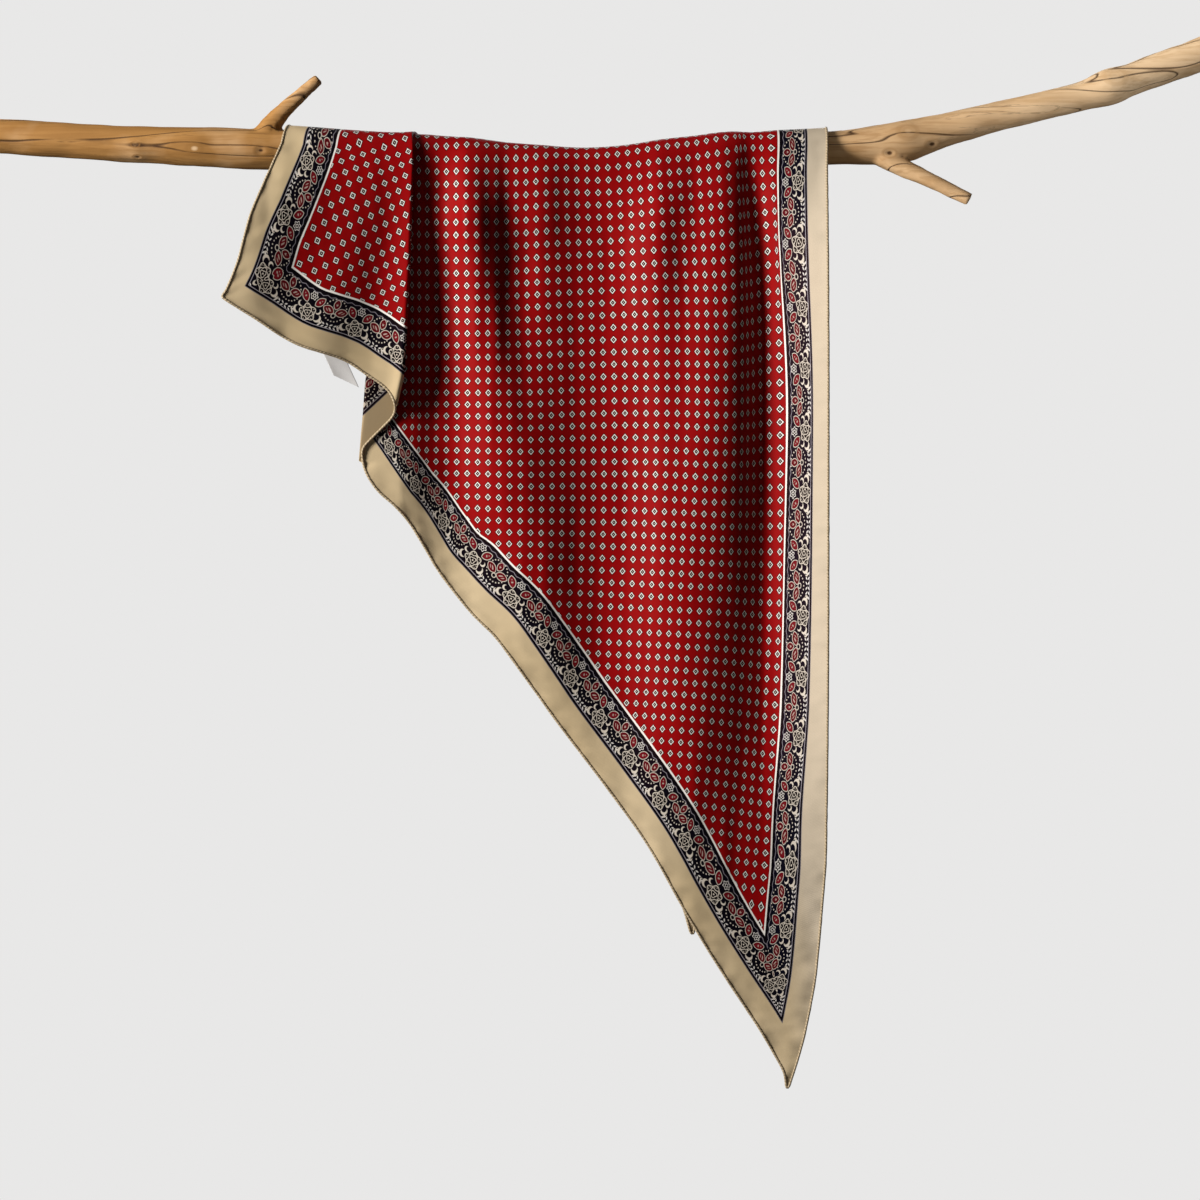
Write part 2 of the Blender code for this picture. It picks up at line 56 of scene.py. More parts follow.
# The flat cloth: its two legs and its long edge, how far up the long edge the
# row at drop 0 lies, and how far down it one millimetre of drop goes
LEG = 900.0
LONG_SIDE = LEG * ROOT2
TOP_ROW = 662.5
ROWS_PER_DROP = 0.9078

# The draped cloth: its thickness, and the steps of its mesh
SHELL = 0.5
WELD = 0.02
RIM_ANGLE = 60.0
COLUMN_STEP = 2.4
ROW_STEP = 2.3
BEND_STEPS = 6
# The narrowest that the back, the front or the flap, and the strip may get
BACK_LEAST, FRONT_LEAST, STRIP_LEAST = 1.5, 1.0, 0.4
# Thickness of the solids' cloth, and its gap to the wood
WALL = 1.2
WRAP_GAP = 0.6

# The rolled hem, and how many millimetres of drop it leaves out on each side of
# the sharp bend where the fold ends
HEM_RADIUS = 1.0
HEM_STEP = 2.0
HEM_SIDES = 10
HEM_SWELL = 0.16
HEM_OUTSET = 0.6
LEG_HEM_SKIPS, STRIP_HEM_SKIPS = 2.5, 3.0
# The cloth ends this far inside its outlines, which include the hem. Where an
# outline slopes, the inset is larger when it is measured level or straight down
EDGE_INSET = 2.2
LEG_INSET, SIDE_INSET, LOW_INSET = EDGE_INSET * 1.3, EDGE_INSET * 1.1, EDGE_INSET * 1.2

# Where the cloth rounds the branch
WRAP_RADIUS = 15.0
WRAP_ROWS = 16
CREST_DROP = -WRAP_RADIUS * math.pi / 2
WRAP_DROPS = tuple(np.linspace(CREST_DROP, 0.0, WRAP_ROWS + 1))
LEVEL_DROP = 100.0

# Where the photo was taken from: its drop, and its distance from a plane so
# far in front of the axis
VIEW_DROP = 342.3
VIEW_DISTANCE = 2184.0
VIEW_PLANE = 16.0

# x, y and z of the branch axis, and its radius
BRANCH = (
    ("x", "y", "z", "radius"),
    (-462, 7, 26.5, 13.4), (-405, 5, 22.8, 13.8), (-361, 3, 19.6, 14.1), (-283, 0, 15.7, 15.3),
    (-250, 0, 14.6, 16.2), (-212, 0, 13.3, 15.3), (-115, 0, 9.4, 14.3), (-47, 0, 3.1, 14.2),
    (24, 0, -0.8, 14.4), (94, 0, 6.2, 14.2), (149, 0, 11.9, 13.8), (212, 0, 15.1, 13.2),
    (251, -1, 17.3, 15.4), (272, -2, 20.2, 16.4), (288, -3, 24.4, 14.4), (345, -5, 39.3, 11.4),
    (410, -4, 55.0, 11.2), (432, -2, 62.0, 14.2), (452, 0, 69.6, 12.6), (502, 3, 87.9, 13.2),
    (532, 4, 100.0, 13.6),
)
UPPER_TWIG = (
    ("x", "y", "z", "radius"),
    (-241, 1, 12, 11.0), (-233, -1, 26, 9.6), (-224, -3, 38, 7.4), (-209, -5, 52.5, 5.6),
    (-190, -7, 68.5, 4.7),
)
LOWER_TWIG = (
    ("x", "y", "z", "radius"),
    (248, -2, 12, 9.0), (262, -8, 2.5, 7.6), (292, -15, -13.5, 5.9), (321, -20, -28.5, 5.1),
)

# Outlines of the cloth, hems included
LONG_EDGE = (
    ("drop", "x"),
    (-24, 211.5), (0, 211.0), (20, 210.0), (70, 209.0), (420, 209.0), (531, 209.0), (550, 208.6),
    (583, 206.2), (615, 203.6), (641, 200.8), (667, 196.2), (693, 190.4), (718, 182.8),
    (728, 179.6),
)
FRONT_LEG = (
    ("drop", "x"),
    (233, -156.6), (241, -153.9), (256, -144.4), (268, -131.1), (281, -120.1), (299, -109.1),
    (318, -98.1), (338, -83.2), (353, -70.7), (371, -52.6), (390, -38.5), (414, -21.2), (435, -6.3),
    (486, 32.2), (531, 64.4), (555, 78.5), (574, 88.7), (608, 108.3), (643, 130.3), (675, 151.5),
    (703, 168.0), (713, 173.0), (728, 175.6),
)
FLAP_SIDE = (
    ("drop", "x"),
    (-24, -213.0), (0, -218.4), (28, -229.6), (52, -240.8), (78, -249.2), (105.8, -261.0),
)
FLAP_HEM = (
    ("drop", "x"),
    (105.8, -261.0), (122, -236.0), (142.9, -204.1), (155.8, -167.2), (167.2, -149.9),
    (175.8, -137.4), (183.7, -130.3), (192.3, -127.6),
)
UNDERSIDE_HEM = (
    ("drop", "x"),
    (192.3, -127.6), (200.2, -130.3), (208.0, -137.4), (218.2, -147.6), (227.7, -155.4),
    (233.0, -156.6),
)
BACK_LEFT = (
    ("drop", "x"),
    (-24, -213.0), (0, -205.0), (120, -143.0), (300, -51.0), (480, 42.0), (560, 84.0), (581, 93.8),
    (600, 99.7), (611, 102.6),
)
BACK_RIGHT = (
    ("drop", "x"),
    (-24, 211.5), (0, 210.0), (120, 193.0), (300, 163.0), (480, 131.0), (560, 115.0), (600, 108.6),
    (611, 107.4),
)

# The turn at the left: the outermost x of both bends, how far the cloth turns
# there in degrees, and the radius of the bends
TURN = (
    ("drop", "outer", "inner", "turn", "radius"),
    (-24, -112.4, -112.4, 52, 0.6),
    (-12, -117.0, -113.2, 115, 0.7),
    (0, -121.6, -114.0, 165, 0.9),
    (20, -125.2, -114.6, 180, 1.4),
    (50, -130.0, -115.4, 180, 1.9),
    (100, -139.0, -117.6, 180, 2.2),
    (162, -150.4, -120.8, 180, 2.7),
    (176, -152.0, -123.4, 180, 2.7),
    (192.3, -153.2, -127.6, 180, 2.2),
    (212, -154.9, -140.0, 180, 1.2),
    (233, -156.6, -152.0, 180, 0.7),
)
TURN_STRAIGHT = 1.0
STRAIGHT_ENOUGH = 0.05
TURN_FADE = 7.0

# Relief of the front: how far it stands off the branch at each x of the first
# row, for each drop. A deep pleat runs down at x = 160, and the long edge
# curls toward the viewer
FRONT_RELIEF = (
    ("drop", -124, -112, -104, -96, -88, -80, -72, -64, -52, -40, -28, -14, 0, 16, 32, 48, 64, 80, 96,
     104, 112, 120, 128, 136, 142, 147, 152, 157, 162, 168),
    (-24, 0.7, 0.7, 0.8, 0.8, 1, 1.2, 1.6, 1.5, 1.1, 0.7, 0.6, 0.6, 0.3, 0.1, 0.3, 0.4, 0.7, 1.1, 1.1,
     1.1, 1.2, 1.4, 1.5, 1.3, 0.8, 0.4, 0.1, 0.2, 0.3, 0.6),
    (-12, 1.7, 1.6, 2.2, 2.1, 2.5, 3.2, 4, 3.8, 2.8, 1.7, 1.7, 1.7, 0.9, 0.4, 0.9, 1.1, 1.8, 2.9, 2.8,
     2.8, 3.1, 3.6, 3.7, 3.2, 2.2, 1.1, 0.5, 0.6, 1, 1.5),
    (0, 6.3, 5.6, 4.0, 3.0, 3.6, 5.6, 8.1, 7.8, 5.6, 3.5, 3.6, 4.0, 2.4, 0.7, 0.8, 1.2, 3.4, 6.1, 5.5,
     5.5, 6, 6.9, 7.1, 6.1, 4.3, 2.2, 1.3, 1.6, 2.5, 3.5),
    (18, 10.2, 9.0, 6.4, 4.6, 6.6, 10.6, 14.2, 13.3, 9.4, 5.8, 5.9, 6.6, 4.0, 1.2, 1.0, 2.2, 5.2, 10,
     8.8, 8.2, 9, 10.2, 10.7, 9.4, 6.3, 3.3, 2.1, 3.1, 4.7, 6.3),
    (45, 11.6, 10.8, 7.8, 6.0, 8.6, 14.4, 21.4, 21, 14.6, 8, 7.6, 8.8, 5.8, 1.8, 1.0, 3.0, 9.8, 16.4,
     13, 12.4, 13.5, 15.2, 16, 14.3, 10.6, 6.2, 3.5, 4, 6.5, 9.4),
    (80, 11, 8.2, 5, 2.8, 4.6, 9.5, 14.6, 16.7, 12.3, 5, 3.3, 5.6, 3.9, 1.0, 0.3, 2.6, 11.7, 17.1, 14.1,
     15, 17, 19, 19.5, 17.9, 14.7, 10.1, 6, 4.4, 5.2, 7.9),
    (130, 11, 7.9, 4.2, 1, 1.8, 5.4, 10.7, 14.8, 14.7, 9.4, 5.8, 5.3, 3.6, 1.0, 0.3, 3.4, 10.5, 15.7,
     17, 19, 21.1, 22.3, 22.1, 20.2, 17.2, 13.2, 9, 6, 4.7, 5.3),
    (190, 11, 8.2, 4.9, 2.1, 2.1, 3.9, 8.1, 12, 16, 15.3, 12.2, 9.3, 5.9, 2.4, 1.4, 3.6, 8.7, 15.3,
     18.7, 21, 23, 23.8, 23.1, 20.8, 17.6, 14, 9.9, 6.7, 4.7, 3.8),
    (250, 13.2, 9.8, 6.6, 4.2, 2.4, 3.2, 6.2, 10.2, 15.4, 17.6, 17, 13.7, 9.5, 5.1, 2.9, 3.6, 9.1, 17.3,
     21.6, 23.4, 24.4, 24.2, 23, 20.2, 16.9, 13.5, 9.9, 6.9, 4.9, 3.6),
    (310, 8, 7, 5.8, 4.3, 3.3, 3.1, 3.8, 5.5, 8.7, 12.6, 15.3, 14.9, 11, 5.2, 2.6, 4, 10, 18.4, 22.4,
     23.4, 23.3, 22.7, 21, 18.1, 15, 12.2, 9.5, 6.9, 5.2, 3.6),
    (370, 7, 7, 6.9, 6.8, 6.8, 6.8, 6.8, 6.8, 7.4, 9.1, 10.9, 11.4, 9.1, 4.7, 2.3, 4.6, 10.4, 17.9,
     22.3, 22.9, 22.6, 21.3, 19, 16, 13.4, 11.4, 9.4, 7.5, 6, 4.4),
    (430, *[9] * 13, 7.9, 6.9, 7.4, 11.8, 18.4, 22.5, 22.8, 22, 20.1, 17.8, 14.9, 12.6, 11, 9.3, 7.9,
     6.8, 5.1),
    (490, *[11] * 15, 11.5, 13.9, 17.8, 19, 19.8, 18.2, 16.2, 14.3, 12.1, 10.6, 9.9, 9.2, 8.5, 7.8, 6.3),
    (545, *[11] * 16, 11.9, 14.4, 15.8, 15.5, 14.6, 13.9, 13.2, 11.2, 10.3, 9.9, 9.5, 9.1, 8.7, 7.3),
    (610, *[11] * 17, 12, 13, 13.2, 13, 12.6, 12.2, 11.7, 11.3, 10.9, 10.5, 10.1, 9.7, 9.3),
    (730, *[9] * 30),
)
EDGE_CURL = (
    ("drop", "rise"),
    (-24, 0.4), (-12, 1.0), (0, 2.5), (18, 8.0), (45, 20.0), (80, 32.0), (190, 41.0), (300, 40.0),
    (420, 33.0), (480, 24.0), (534, 13.0), (600, 5.0), (730, 0.5),
)
CURL_WIDTH = 50.0
CURL_POWER = 1.15

# Puckers beside the hem: how high, how far they reach from it, and how far down
# the cloth they come to full height. The same for the creases, whose first
# number is the drop where they are strongest
PUCKER, PUCKER_REACH, PUCKER_FULL = 1.7, 13.0, 30.0
CREASES_AT, CREASES_REACH, CREASES_FULL = 40, 60, 40

# The flap: how far it sinks behind its fold, how steeply it then comes out
# again to its left side, and its soft waves
FLAP_STANCE = (
    ("drop", "sink", "slope", "wave"),
    (-24, 2.2, 0.0, 0.1), (0, 2.4, 0.06, 0.3), (30, 4.0, 0.16, 0.7), (60, 5.4, 0.20, 0.9),
    (120, 6.6, 0.21, 1.0), (195, 6.6, 0.21, 1.0),
)
FLAP_WAVE_LENGTH = 66.0
FLAP_WAVE_LEAN = 0.35
FLAP_SETTLE = 24.0

# Soft folds of the back, at shares of its width from left to right
BACK_DROPS = (-24, 0, 60, 200, 400, 610)
BACK_FOLDS = (
    ("share", "left", "right", "lift"),
    (0.232, 0.050, 0.012, (3.4, 5.5, 9.0, 7.0, 3.0, 1.0)),
    (0.340, 0.032, 0.032, (1.6, 4.0, 5.0, 3.0, 1.0, 0)),
    (0.440, 0.030, 0.034, (1.3, 4.0, 7.0, 9.0, 6.0, 1.5)),
    (0.572, 0.034, 0.034, (1.2, 3.0, 5.0, 4.0, 2.0, 0)),
    (0.690, 0.036, 0.030, (1.4, 4.0, 8.0, 12.0, 8.0, 2.0)),
    (0.805, 0.036, 0.026, (2.4, 6.0, 8.0, 7.0, 3.0, 1.0)),
    (0.905, 0.030, 0.030, (1.8, 4.0, 8.0, 10.0, 6.0, 1.5)),
)
BACK_STANCE = (
    ("drop", "left", "right"),
    (-24, 0.2, 0.4), (0, 1.0, 1.0), (60, 2.0, 3.0), (300, 4.0, 6.0), (610, 2.0, 2.0),
)
BACK_BLEND = 110.0

# How the flap's borders are drawn in: distance seen from an edge, and the
# distance from that edge in the flat cloth
FLAP_HEM_SEEN = (("seen", "flat"), (0, 0), (18.5, 23.5), (50, 55.5), (250, 260))
FLAP_SIDE_SEEN = (("drop", "hem", "border"), (40, 17.5, 43.3), (105, 12.5, 42.0))

# The same for the front panel: along its long edge and along its leg
EDGE_SEEN = (
    ("drop", "hem", "border"),
    (-24, 17.0, 40.5), (10, 17.0, 40.2), (195, 12.6, 32.3), (300, 13.2, 34.0), (420, 15.0, 36.8),
    (534, 20.6, 44.0), (620, 20.4, 45.2), (728, 20.4, 45.2),
)
LEG_SEEN = (
    ("along", "hem", "border"),
    (0, 18.3, 40.0), (62, 17.0, 40.8), (90, 17.2, 43.6), (120, 20.0, 50.0), (165, 22.5, 52.0),
    (270, 20.3, 51.0), (490, 19.5, 46.4), (600, 19.5, 46.0),
)

# Widths of the plain hem band, and of it with the border; the pitch of the
# field's lattice, and the place of one of its dots
BEIGE_WIDTH = 23.5
BORDER_WIDTH = 55.5
LATTICE = 8.8
LATTICE_U, LATTICE_V = 59.4, 0.8
# How much more flat cloth there is than is seen, and how far the columns go on
FIELD_STRETCH = 1.06
FAR = 120.0
# Drops between which the whole print comes to follow both edges at the tip, the
# border comes to follow both, and the border comes to follow the leg
TIP_FROM, TIP_TO = 560.0, 625.0
CORNER_FROM, CORNER_TO = 500.0, 570.0
LEG_FROM, LEG_TO = 120.0, 160.0
SHARE_WIDTH = 25.0

# Where the front leg would run behind the flap, on from its upper end
HIDDEN_LEG = (-198.6, -173.0)
STRAIGHT_FROM, STRAIGHT_LENGTH = 267.0, 43.6

# The straight edge of the hem band on the turned strip, and its scale
STRIP_FROM, STRIP_TO = (-133.9, -179.3), (-154.0, -198.0)
STRIP_SCALE = 1.17
STRIP_PLACE = 690.0

# The lattice on the flap: how many columns and rows lie to the right of its
# middle and below it, by distance from there in units of FLAP_UNIT
FLAP_MIDDLE = (-190.0, 70.0)
FLAP_UNIT = 60.0
FLAP_U, FLAP_V = 499.4, 660.8
FLAP_LATTICE = (
    ("way", "middle", "x", "drop", "x_x", "x_drop", "drop_drop"),
    ("columns", -4.436, 6.225, -2.314, 0.202, 0.070, 0.129),
    ("rows", 2.448, 2.676, 6.300, -0.029, 0.136, -0.182),
)

# Where the printed columns hang: x of the columns that lie these distances in
# from the long edge of the flat cloth
PRINT_COLUMNS = (
    ("drop", 59.4, 77.0, 85.8, 94.6, 103.4, 112.2, 156.2, 200.2, 244.2, 288.2, 332.2, 376.2, 402.6),
    (-12, 165, 151.4, 144.4, 141, 137.5, 129.8, 91.7, 52.7, 12.9, -26.8, -65.3, -104.8, -126),
    (20, 166.3, 152, 145.9, 142.7, 139.6, 132, 93.8, 54.9, 13.2, -26.6, -65, -103.8, -123),
    (80, 170.1, 155, 148.9, 145.4, 141.9, 134.6, 97.8, 57.3, 15.2, -26.2, -64.6, -104.1, -122),
    (130, 171, 156.3, 150.4, 146.3, 142.2, 135.8, 99.5, 58.8, 16.5, -25.1, -64, -104.1, -121.3),
    (190, 171.9, 157, 151.2, 146.6, 142.1, 136, 99.4, 59.3, 17.7, -23.2, -63.7, -104.2, -121),
    (250, 172.3, 157.3, 151.4, 146.2, 141.2, 135.1, 97.6, 59, 18.1, -22.3, -64.2, -104.8, -124),
    (310, 172, 157.4, 151.2, 145.4, 139.7, 133.2, 95.2, 57.4, 16.9, -23.1, -64.6, -106, -130),
    (370, 170.8, 156.3, 149.9, 143.4, 136.9, 130, 92.4, 54.6, 14.3, -26, -67, -108, -133),
    (430, 167.8, 153.7, 147.3, 140.5, 133.7, 126.5, 88.3, 51.8, 12, -29, -70, -111, -136),
    (490, 164.1, 150.2, 143.5, 136.3, 129.1, 121.6, 84.2, 46, 6, -34, -75, -116, -141),
    (545, 160.3, 146, 138.9, 131.7, 124.4, 117.1, 79.6, 41, 1, -39, -80, -121, -146),
    (610, 154.8, 140.5, 133.4, 126.2, 118.9, 111.6, 74, 36, -4, -44, -85, -126, -151),
)
ROW_SKEW = (
    ("drop", -160, -120, -70, -30, 10, 50, 90, 125, 150, 168, 209),
    (-24, 14, 13.5, 9.3, 5.5, 1.0, 0.4, 0.2, -0.6, -2.0, 0, 0.3),
    (20, 12.5, 12, 9.2, 5.1, 0.6, 0.8, 1.3, 0.5, -2.3, -1.6, -0.9),
    (80, 6, 6, 6.4, 4.3, 1.8, 0, -1.2, -1.8, -5.2, -8, -8),
    (130, 5, 4.6, 4.8, 3.8, 1.5, 0.2, -0.5, -0.2, -3.6, -6.5, -7.5),
    (190, 2, 2, 2.5, 2.5, 0.8, -0.1, 0, 1.4, -0.8, -3, -4),
    (250, -2, -2, -1.6, -0.4, -0.8, -1, 0.1, 1.9, 1, -0.2, -1),
    (310, -6, -6, -5.2, -4.3, -3.1, -1.7, -0.2, 1.4, 2, 2.1, 2.2),
    (370, -10, -10, -9, -7.4, -5.4, -3.2, -1.2, 0.8, 2.7, 3.8, 4.5),
    (430, -13, -13, -11.5, -10, -7.8, -5.3, -2.7, 0.2, 3.4, 5.4, 7),
    (490, -16, -16, -14, -12, -10, -7.5, -4.4, -0.3, 3.8, 6.1, 8),
    (545, -16, -16, -14, -12, -10, -8, -4.8, -0.7, 3.8, 6, 8),
    (730, -16, -16, -14, -12, -10, -8, -4.8, -0.7, 3.8, 6, 8),
)

LABEL_CORNERS = (
    ("x", "z"),
    (-187.5, -145.0), (-167.5, -154.5), (-157.7, -175.5), (-177.7, -166.0),
)
LABEL_WIDTH, LABEL_LENGTH, LABEL_THICKNESS, LABEL_TUCK = 20.0, 26.0, 0.25, 5.0
LABEL_BOW, LABEL_LIFT = 0.9, 1.6


# ---------------------------------------------------------------- curves


def column(table, name):
    """One named column of a table whose first row holds the names."""
    place = table[0].index(name)
    return [row[place] for row in table[1:]]


# Drops where the hem passes from the flap to the turned strip, and where the
# strip ends with its fold
STRIP_HEM, FOLD_END = (column(UNDERSIDE_HEM, "drop")[k] for k in (0, -1))


def glide(stations, values, at):
    """Read a smooth curve through stations and values, with no overshoot."""
    stations = np.asarray(stations, float)
    values = np.asarray(values, float)
    steps = np.diff(stations)
    grades = np.diff(values) / steps
    slopes = np.empty(len(stations))
    slopes[0], slopes[-1] = grades[0], grades[-1]
    product = grades[:-1] * grades[1:]
    total = grades[:-1] + grades[1:]
    rising = product > 0
    slopes[1:-1] = np.where(rising, 2 * product / np.where(rising, total, 1.0), 0.0)
    at = np.clip(at, stations[0], stations[-1])
    i = np.clip(np.searchsorted(stations, at, "right") - 1, 0, len(steps) - 1)
    u = (at - stations[i]) / steps[i]
    return (
        values[i] * (1 + 2 * u) * (1 - u) ** 2
        + values[i + 1] * u * u * (3 - 2 * u)
        + steps[i] * (slopes[i] * u * (1 - u) ** 2 - slopes[i + 1] * u * u * (1 - u))
    )


def read(table, key, name, at):
    return glide(column(table, key), column(table, name), at)


def ease(value):
    """0 below 0, 1 above 1 and smooth between."""
    value = np.clip(value, 0.0, 1.0)
    return value * value * (3 - 2 * value)


def ramp(value, start, end):
    """A smooth rise from 0 at start to 1 at end."""
    return ease((value - start) / (end - start))


def mixed(first, second, share):
    return first * (1 - share) + second * share


def ridge(x, crest, left, right):
    """A soft ridge with its own width on each side."""
    width = np.where(x < crest, left, right)
    return np.exp(-(((x - crest) / width) ** 2))


def ripple(x, drop, across, down, seed):
    """Soft uneven ripples, longer down the cloth than across it."""
    return np.array([
        noise.noise(Vector((a / across, drop / down, seed))) for a in np.atleast_1d(x)
    ])


def spaced(first, last, step):
    """Values from first to last, evenly, about step apart."""
    count = max(1, round(abs(last - first) / step))
    return np.linspace(first, last, count + 1)


# ------------------------------------------------------- the draped shape


def skin(x):
    """Distance from the branch axis to the middle of cloth that lies on it."""
    return read(BRANCH, "x", "radius", x) + WRAP_GAP + WALL / 2


def on_cloth(side, x, drop, lift):
    """Points at x and drop, in metres; side is -1 in front and 1 behind. In
    front, a drop is as the photo shows it, so what stands out hangs lower."""
    x = np.asarray(x, float)
    radius = skin(x) + lift
    axis = read(BRANCH, "x", "z", x)
    if drop < 0:
        angle = -drop / WRAP_RADIUS
        y = side * radius * math.cos(angle)
        z = axis + radius * math.sin(angle)
    else:
        y = side * radius
        z = axis * (1 - ease(drop / LEVEL_DROP)) - drop
        if side < 0:
            nearer = (radius - VIEW_PLANE) / VIEW_DISTANCE * ease(drop / LEVEL_DROP)
            z = z - (VIEW_DROP - drop) * nearer
    return np.stack([x, y + 0 * x, z + 0 * x], axis=1) * MM


RELIEF_X = np.array(FRONT_RELIEF[0][1:], float)
RELIEF_DROPS = np.array([row[0] for row in FRONT_RELIEF[1:]], float)
RELIEF = np.array([row[1:] for row in FRONT_RELIEF[1:]], float)


def front_lift(x, drop):
    """How far the front panel stands off the branch."""
    across = [float(glide(RELIEF_DROPS, heights, drop)) for heights in RELIEF.T]
    right = read(LONG_EDGE, "drop", "x", drop)
    curl = np.maximum(0.0, 1 - (right - x) / CURL_WIDTH)
    return glide(RELIEF_X, across, x) + read(EDGE_CURL, "drop", "rise", drop) * curl ** CURL_POWER


def fine_lift(x, drop, seed):
    """Small creases: strongest just below the branch, faint further down."""
    hang = ease((drop - CREST_DROP) / CREASES_FULL)
    near = math.exp(-(((drop - CREASES_AT) / CREASES_REACH) ** 2))
    creases = ripple(x, drop, 11.0, 90.0, seed) * (0.5 * near + 0.1)
    waves = ripple(x, drop, 34.0, 120.0, seed + 7.3) * 0.5
    return hang * (creases + waves)


def pucker(away, drop, seed):
    """Small puckers that the hem's stitches draw, fading away from it."""
    ripples = 0.5 * ripple(away, drop, 10.0, 6.0, seed) + ripple(away, drop, 17.0, 15.0, seed + 3.1)
    hang = ease((drop - CREST_DROP) / PUCKER_FULL)
    return PUCKER * ripples * np.exp(-away / PUCKER_REACH) * hang


def panel_lift(x, drop):
    """The front panel's relief with its small creases."""
    return front_lift(x, drop) + fine_lift(x, drop, seed=2.0)


def turn_at(drop):
    """Sizes of the turn: start x, turning angle, bend radius and straight."""
    outer, inner, degrees, radius = (read(TURN, "drop", name, drop) for name in TURN[0][1:])
    angle = math.radians(degrees)
    start = outer + radius * math.sin(min(angle, math.pi / 2))
    straight = max(inner - outer - 2 * radius, TURN_STRAIGHT)
    return start, angle, radius, straight


def bend(start, heading_from, heading_to, radius, steps):
    """Points of an arc in plan; a heading of 0 goes left, 90 degrees outward."""
    x, lift = start
    sense = 1 if heading_to > heading_from else -1
    headings = heading_from + (heading_to - heading_from) * np.arange(1, steps + 1) / steps
    return np.stack([
        x - sense * radius * (np.sin(headings) - math.sin(heading_from)),
        lift - sense * radius * (np.cos(headings) - math.cos(heading_from)),
    ], axis=1)


def front_plan(drop):
    """Plan of the front panel, from the long edge to its left end."""
    right = read(LONG_EDGE, "drop", "x", drop) - EDGE_INSET
    start, angle, radius, _ = turn_at(min(drop, FOLD_END))
    if drop > FOLD_END:
        left = read(FRONT_LEG, "drop", "x", drop) + LEG_INSET
        angle *= 1 - ease((drop - FOLD_END) / TURN_FADE)
        start = min(left + radius * math.sin(angle / 2), right - FRONT_LEAST)
    xs = spaced(right, start, COLUMN_STEP)
    lifts = panel_lift(xs, drop) + pucker(right - xs, drop, seed=11.0)
    if drop > FOLD_END:
        lifts += pucker(xs - start, drop, seed=12.0)
    plan = np.stack([xs, lifts], axis=1)
    if angle < STRAIGHT_ENOUGH:
        return plan
    return np.vstack([plan, bend(plan[-1], 0.0, angle / 2, radius, BEND_STEPS)])


def turn_start(drop):
    start = turn_at(drop)[0]
    return start, float(panel_lift(np.array([start]), drop)[0])


def underside_plan(drop):
    """Plan of the strip whose underside shows, from the outer bend inward."""
    _, angle, radius, straight = turn_at(drop)
    first = bend(turn_start(drop), 0.0, angle / 2, radius, BEND_STEPS)[-1:]
    plan = np.vstack([first, bend(first[-1], angle / 2, angle, radius, BEND_STEPS)])
    x, lift = plan[-1]
    if drop > STRIP_HEM - EDGE_INSET:
        hem = read(UNDERSIDE_HEM, "drop", "x", drop + LEG_INSET)
        run = spaced(0.0, max(STRIP_LEAST, hem - x), COLUMN_STEP)[1:]
        return np.vstack([plan, np.stack([x + run, lift + 0 * run], axis=1)])
    run = spaced(0.0, straight, COLUMN_STEP)[1:]
    line = np.stack([x - run * math.cos(angle), lift + run * math.sin(angle)], axis=1)
    return np.vstack([plan, line, bend(line[-1], angle, angle / 2, radius, BEND_STEPS)])


def flap_plan(drop):
    """Plan of the flap, from the inner bend to its left side or its hem."""
    start, angle, radius, straight = turn_at(drop)
    ground = turn_start(drop)[1]
    x = start - radius * math.sin(angle) - straight * math.cos(angle)
    lift = ground + radius * (1 - math.cos(angle)) + straight * math.sin(angle)
    sink, slope, wave = (read(FLAP_STANCE, "drop", name, drop) for name in FLAP_STANCE[0][1:])
    tilt = math.atan(2 * sink / FLAP_SETTLE - slope)
    plan = bend((x, lift), angle, angle / 2, radius, BEND_STEPS)[-1:]
    plan = np.vstack([plan, bend(plan[-1], angle / 2, -tilt, radius, BEND_STEPS)])
    corner = column(FLAP_SIDE, "drop")[-1]
    if drop < corner - EDGE_INSET:
        left = read(FLAP_SIDE, "drop", "x", drop) + SIDE_INSET
    else:
        left = read(FLAP_HEM, "drop", "x", drop + LOW_INSET)
    x, top = plan[-1]
    if left > x - FRONT_LEAST:
        kept = plan[plan[:, 0] > left]
        return kept if len(kept) > 1 else plan[:2]
    xs = spaced(x, left, COLUMN_STEP)[1:]
    away = x - xs
    sunk = 1 - np.clip(1 - away / FLAP_SETTLE, 0, 1) ** 2
    phase = (away - drop * FLAP_WAVE_LEAN) / FLAP_WAVE_LENGTH
    waves = wave * np.sin(phase * 2 * math.pi) + fine_lift(xs, drop, seed=9.0)
    waves += pucker(xs - left, drop, seed=13.0)
    lifts = top - sink * sunk + slope * away + waves * ease(away / FLAP_SETTLE)
    return np.vstack([plan, np.stack([xs, lifts], axis=1)])


def back_lift(x, drop, left, right):
    """How far the back panel stands off the branch."""
    share = (x - left) / (right - left)
    near, far = (read(BACK_STANCE, "drop", name, drop) for name in ("left", "right"))
    lift = near + (far - near) * ease(share)
    for place, wide_left, wide_right, lifts in BACK_FOLDS[1:]:
        height = glide(BACK_DROPS, lifts, drop)
        lift = lift + height * ridge(share, place, wide_left, wide_right)
    return lift


# ------------------------------------------------- places in the flat cloth


def leg_place(along_leg, from_leg):
    """(u, v) of a point so far along the front leg, and in from it."""
    across = (along_leg - from_leg) / ROOT2
    return np.stack([across, across + from_leg * ROOT2], axis=1)


def lengths(points):
    """Distance along a row of points, from its first."""
    steps = np.linalg.norm(np.diff(points, axis=0), axis=1)
    return np.concatenate([[0.0], np.cumsum(steps)])


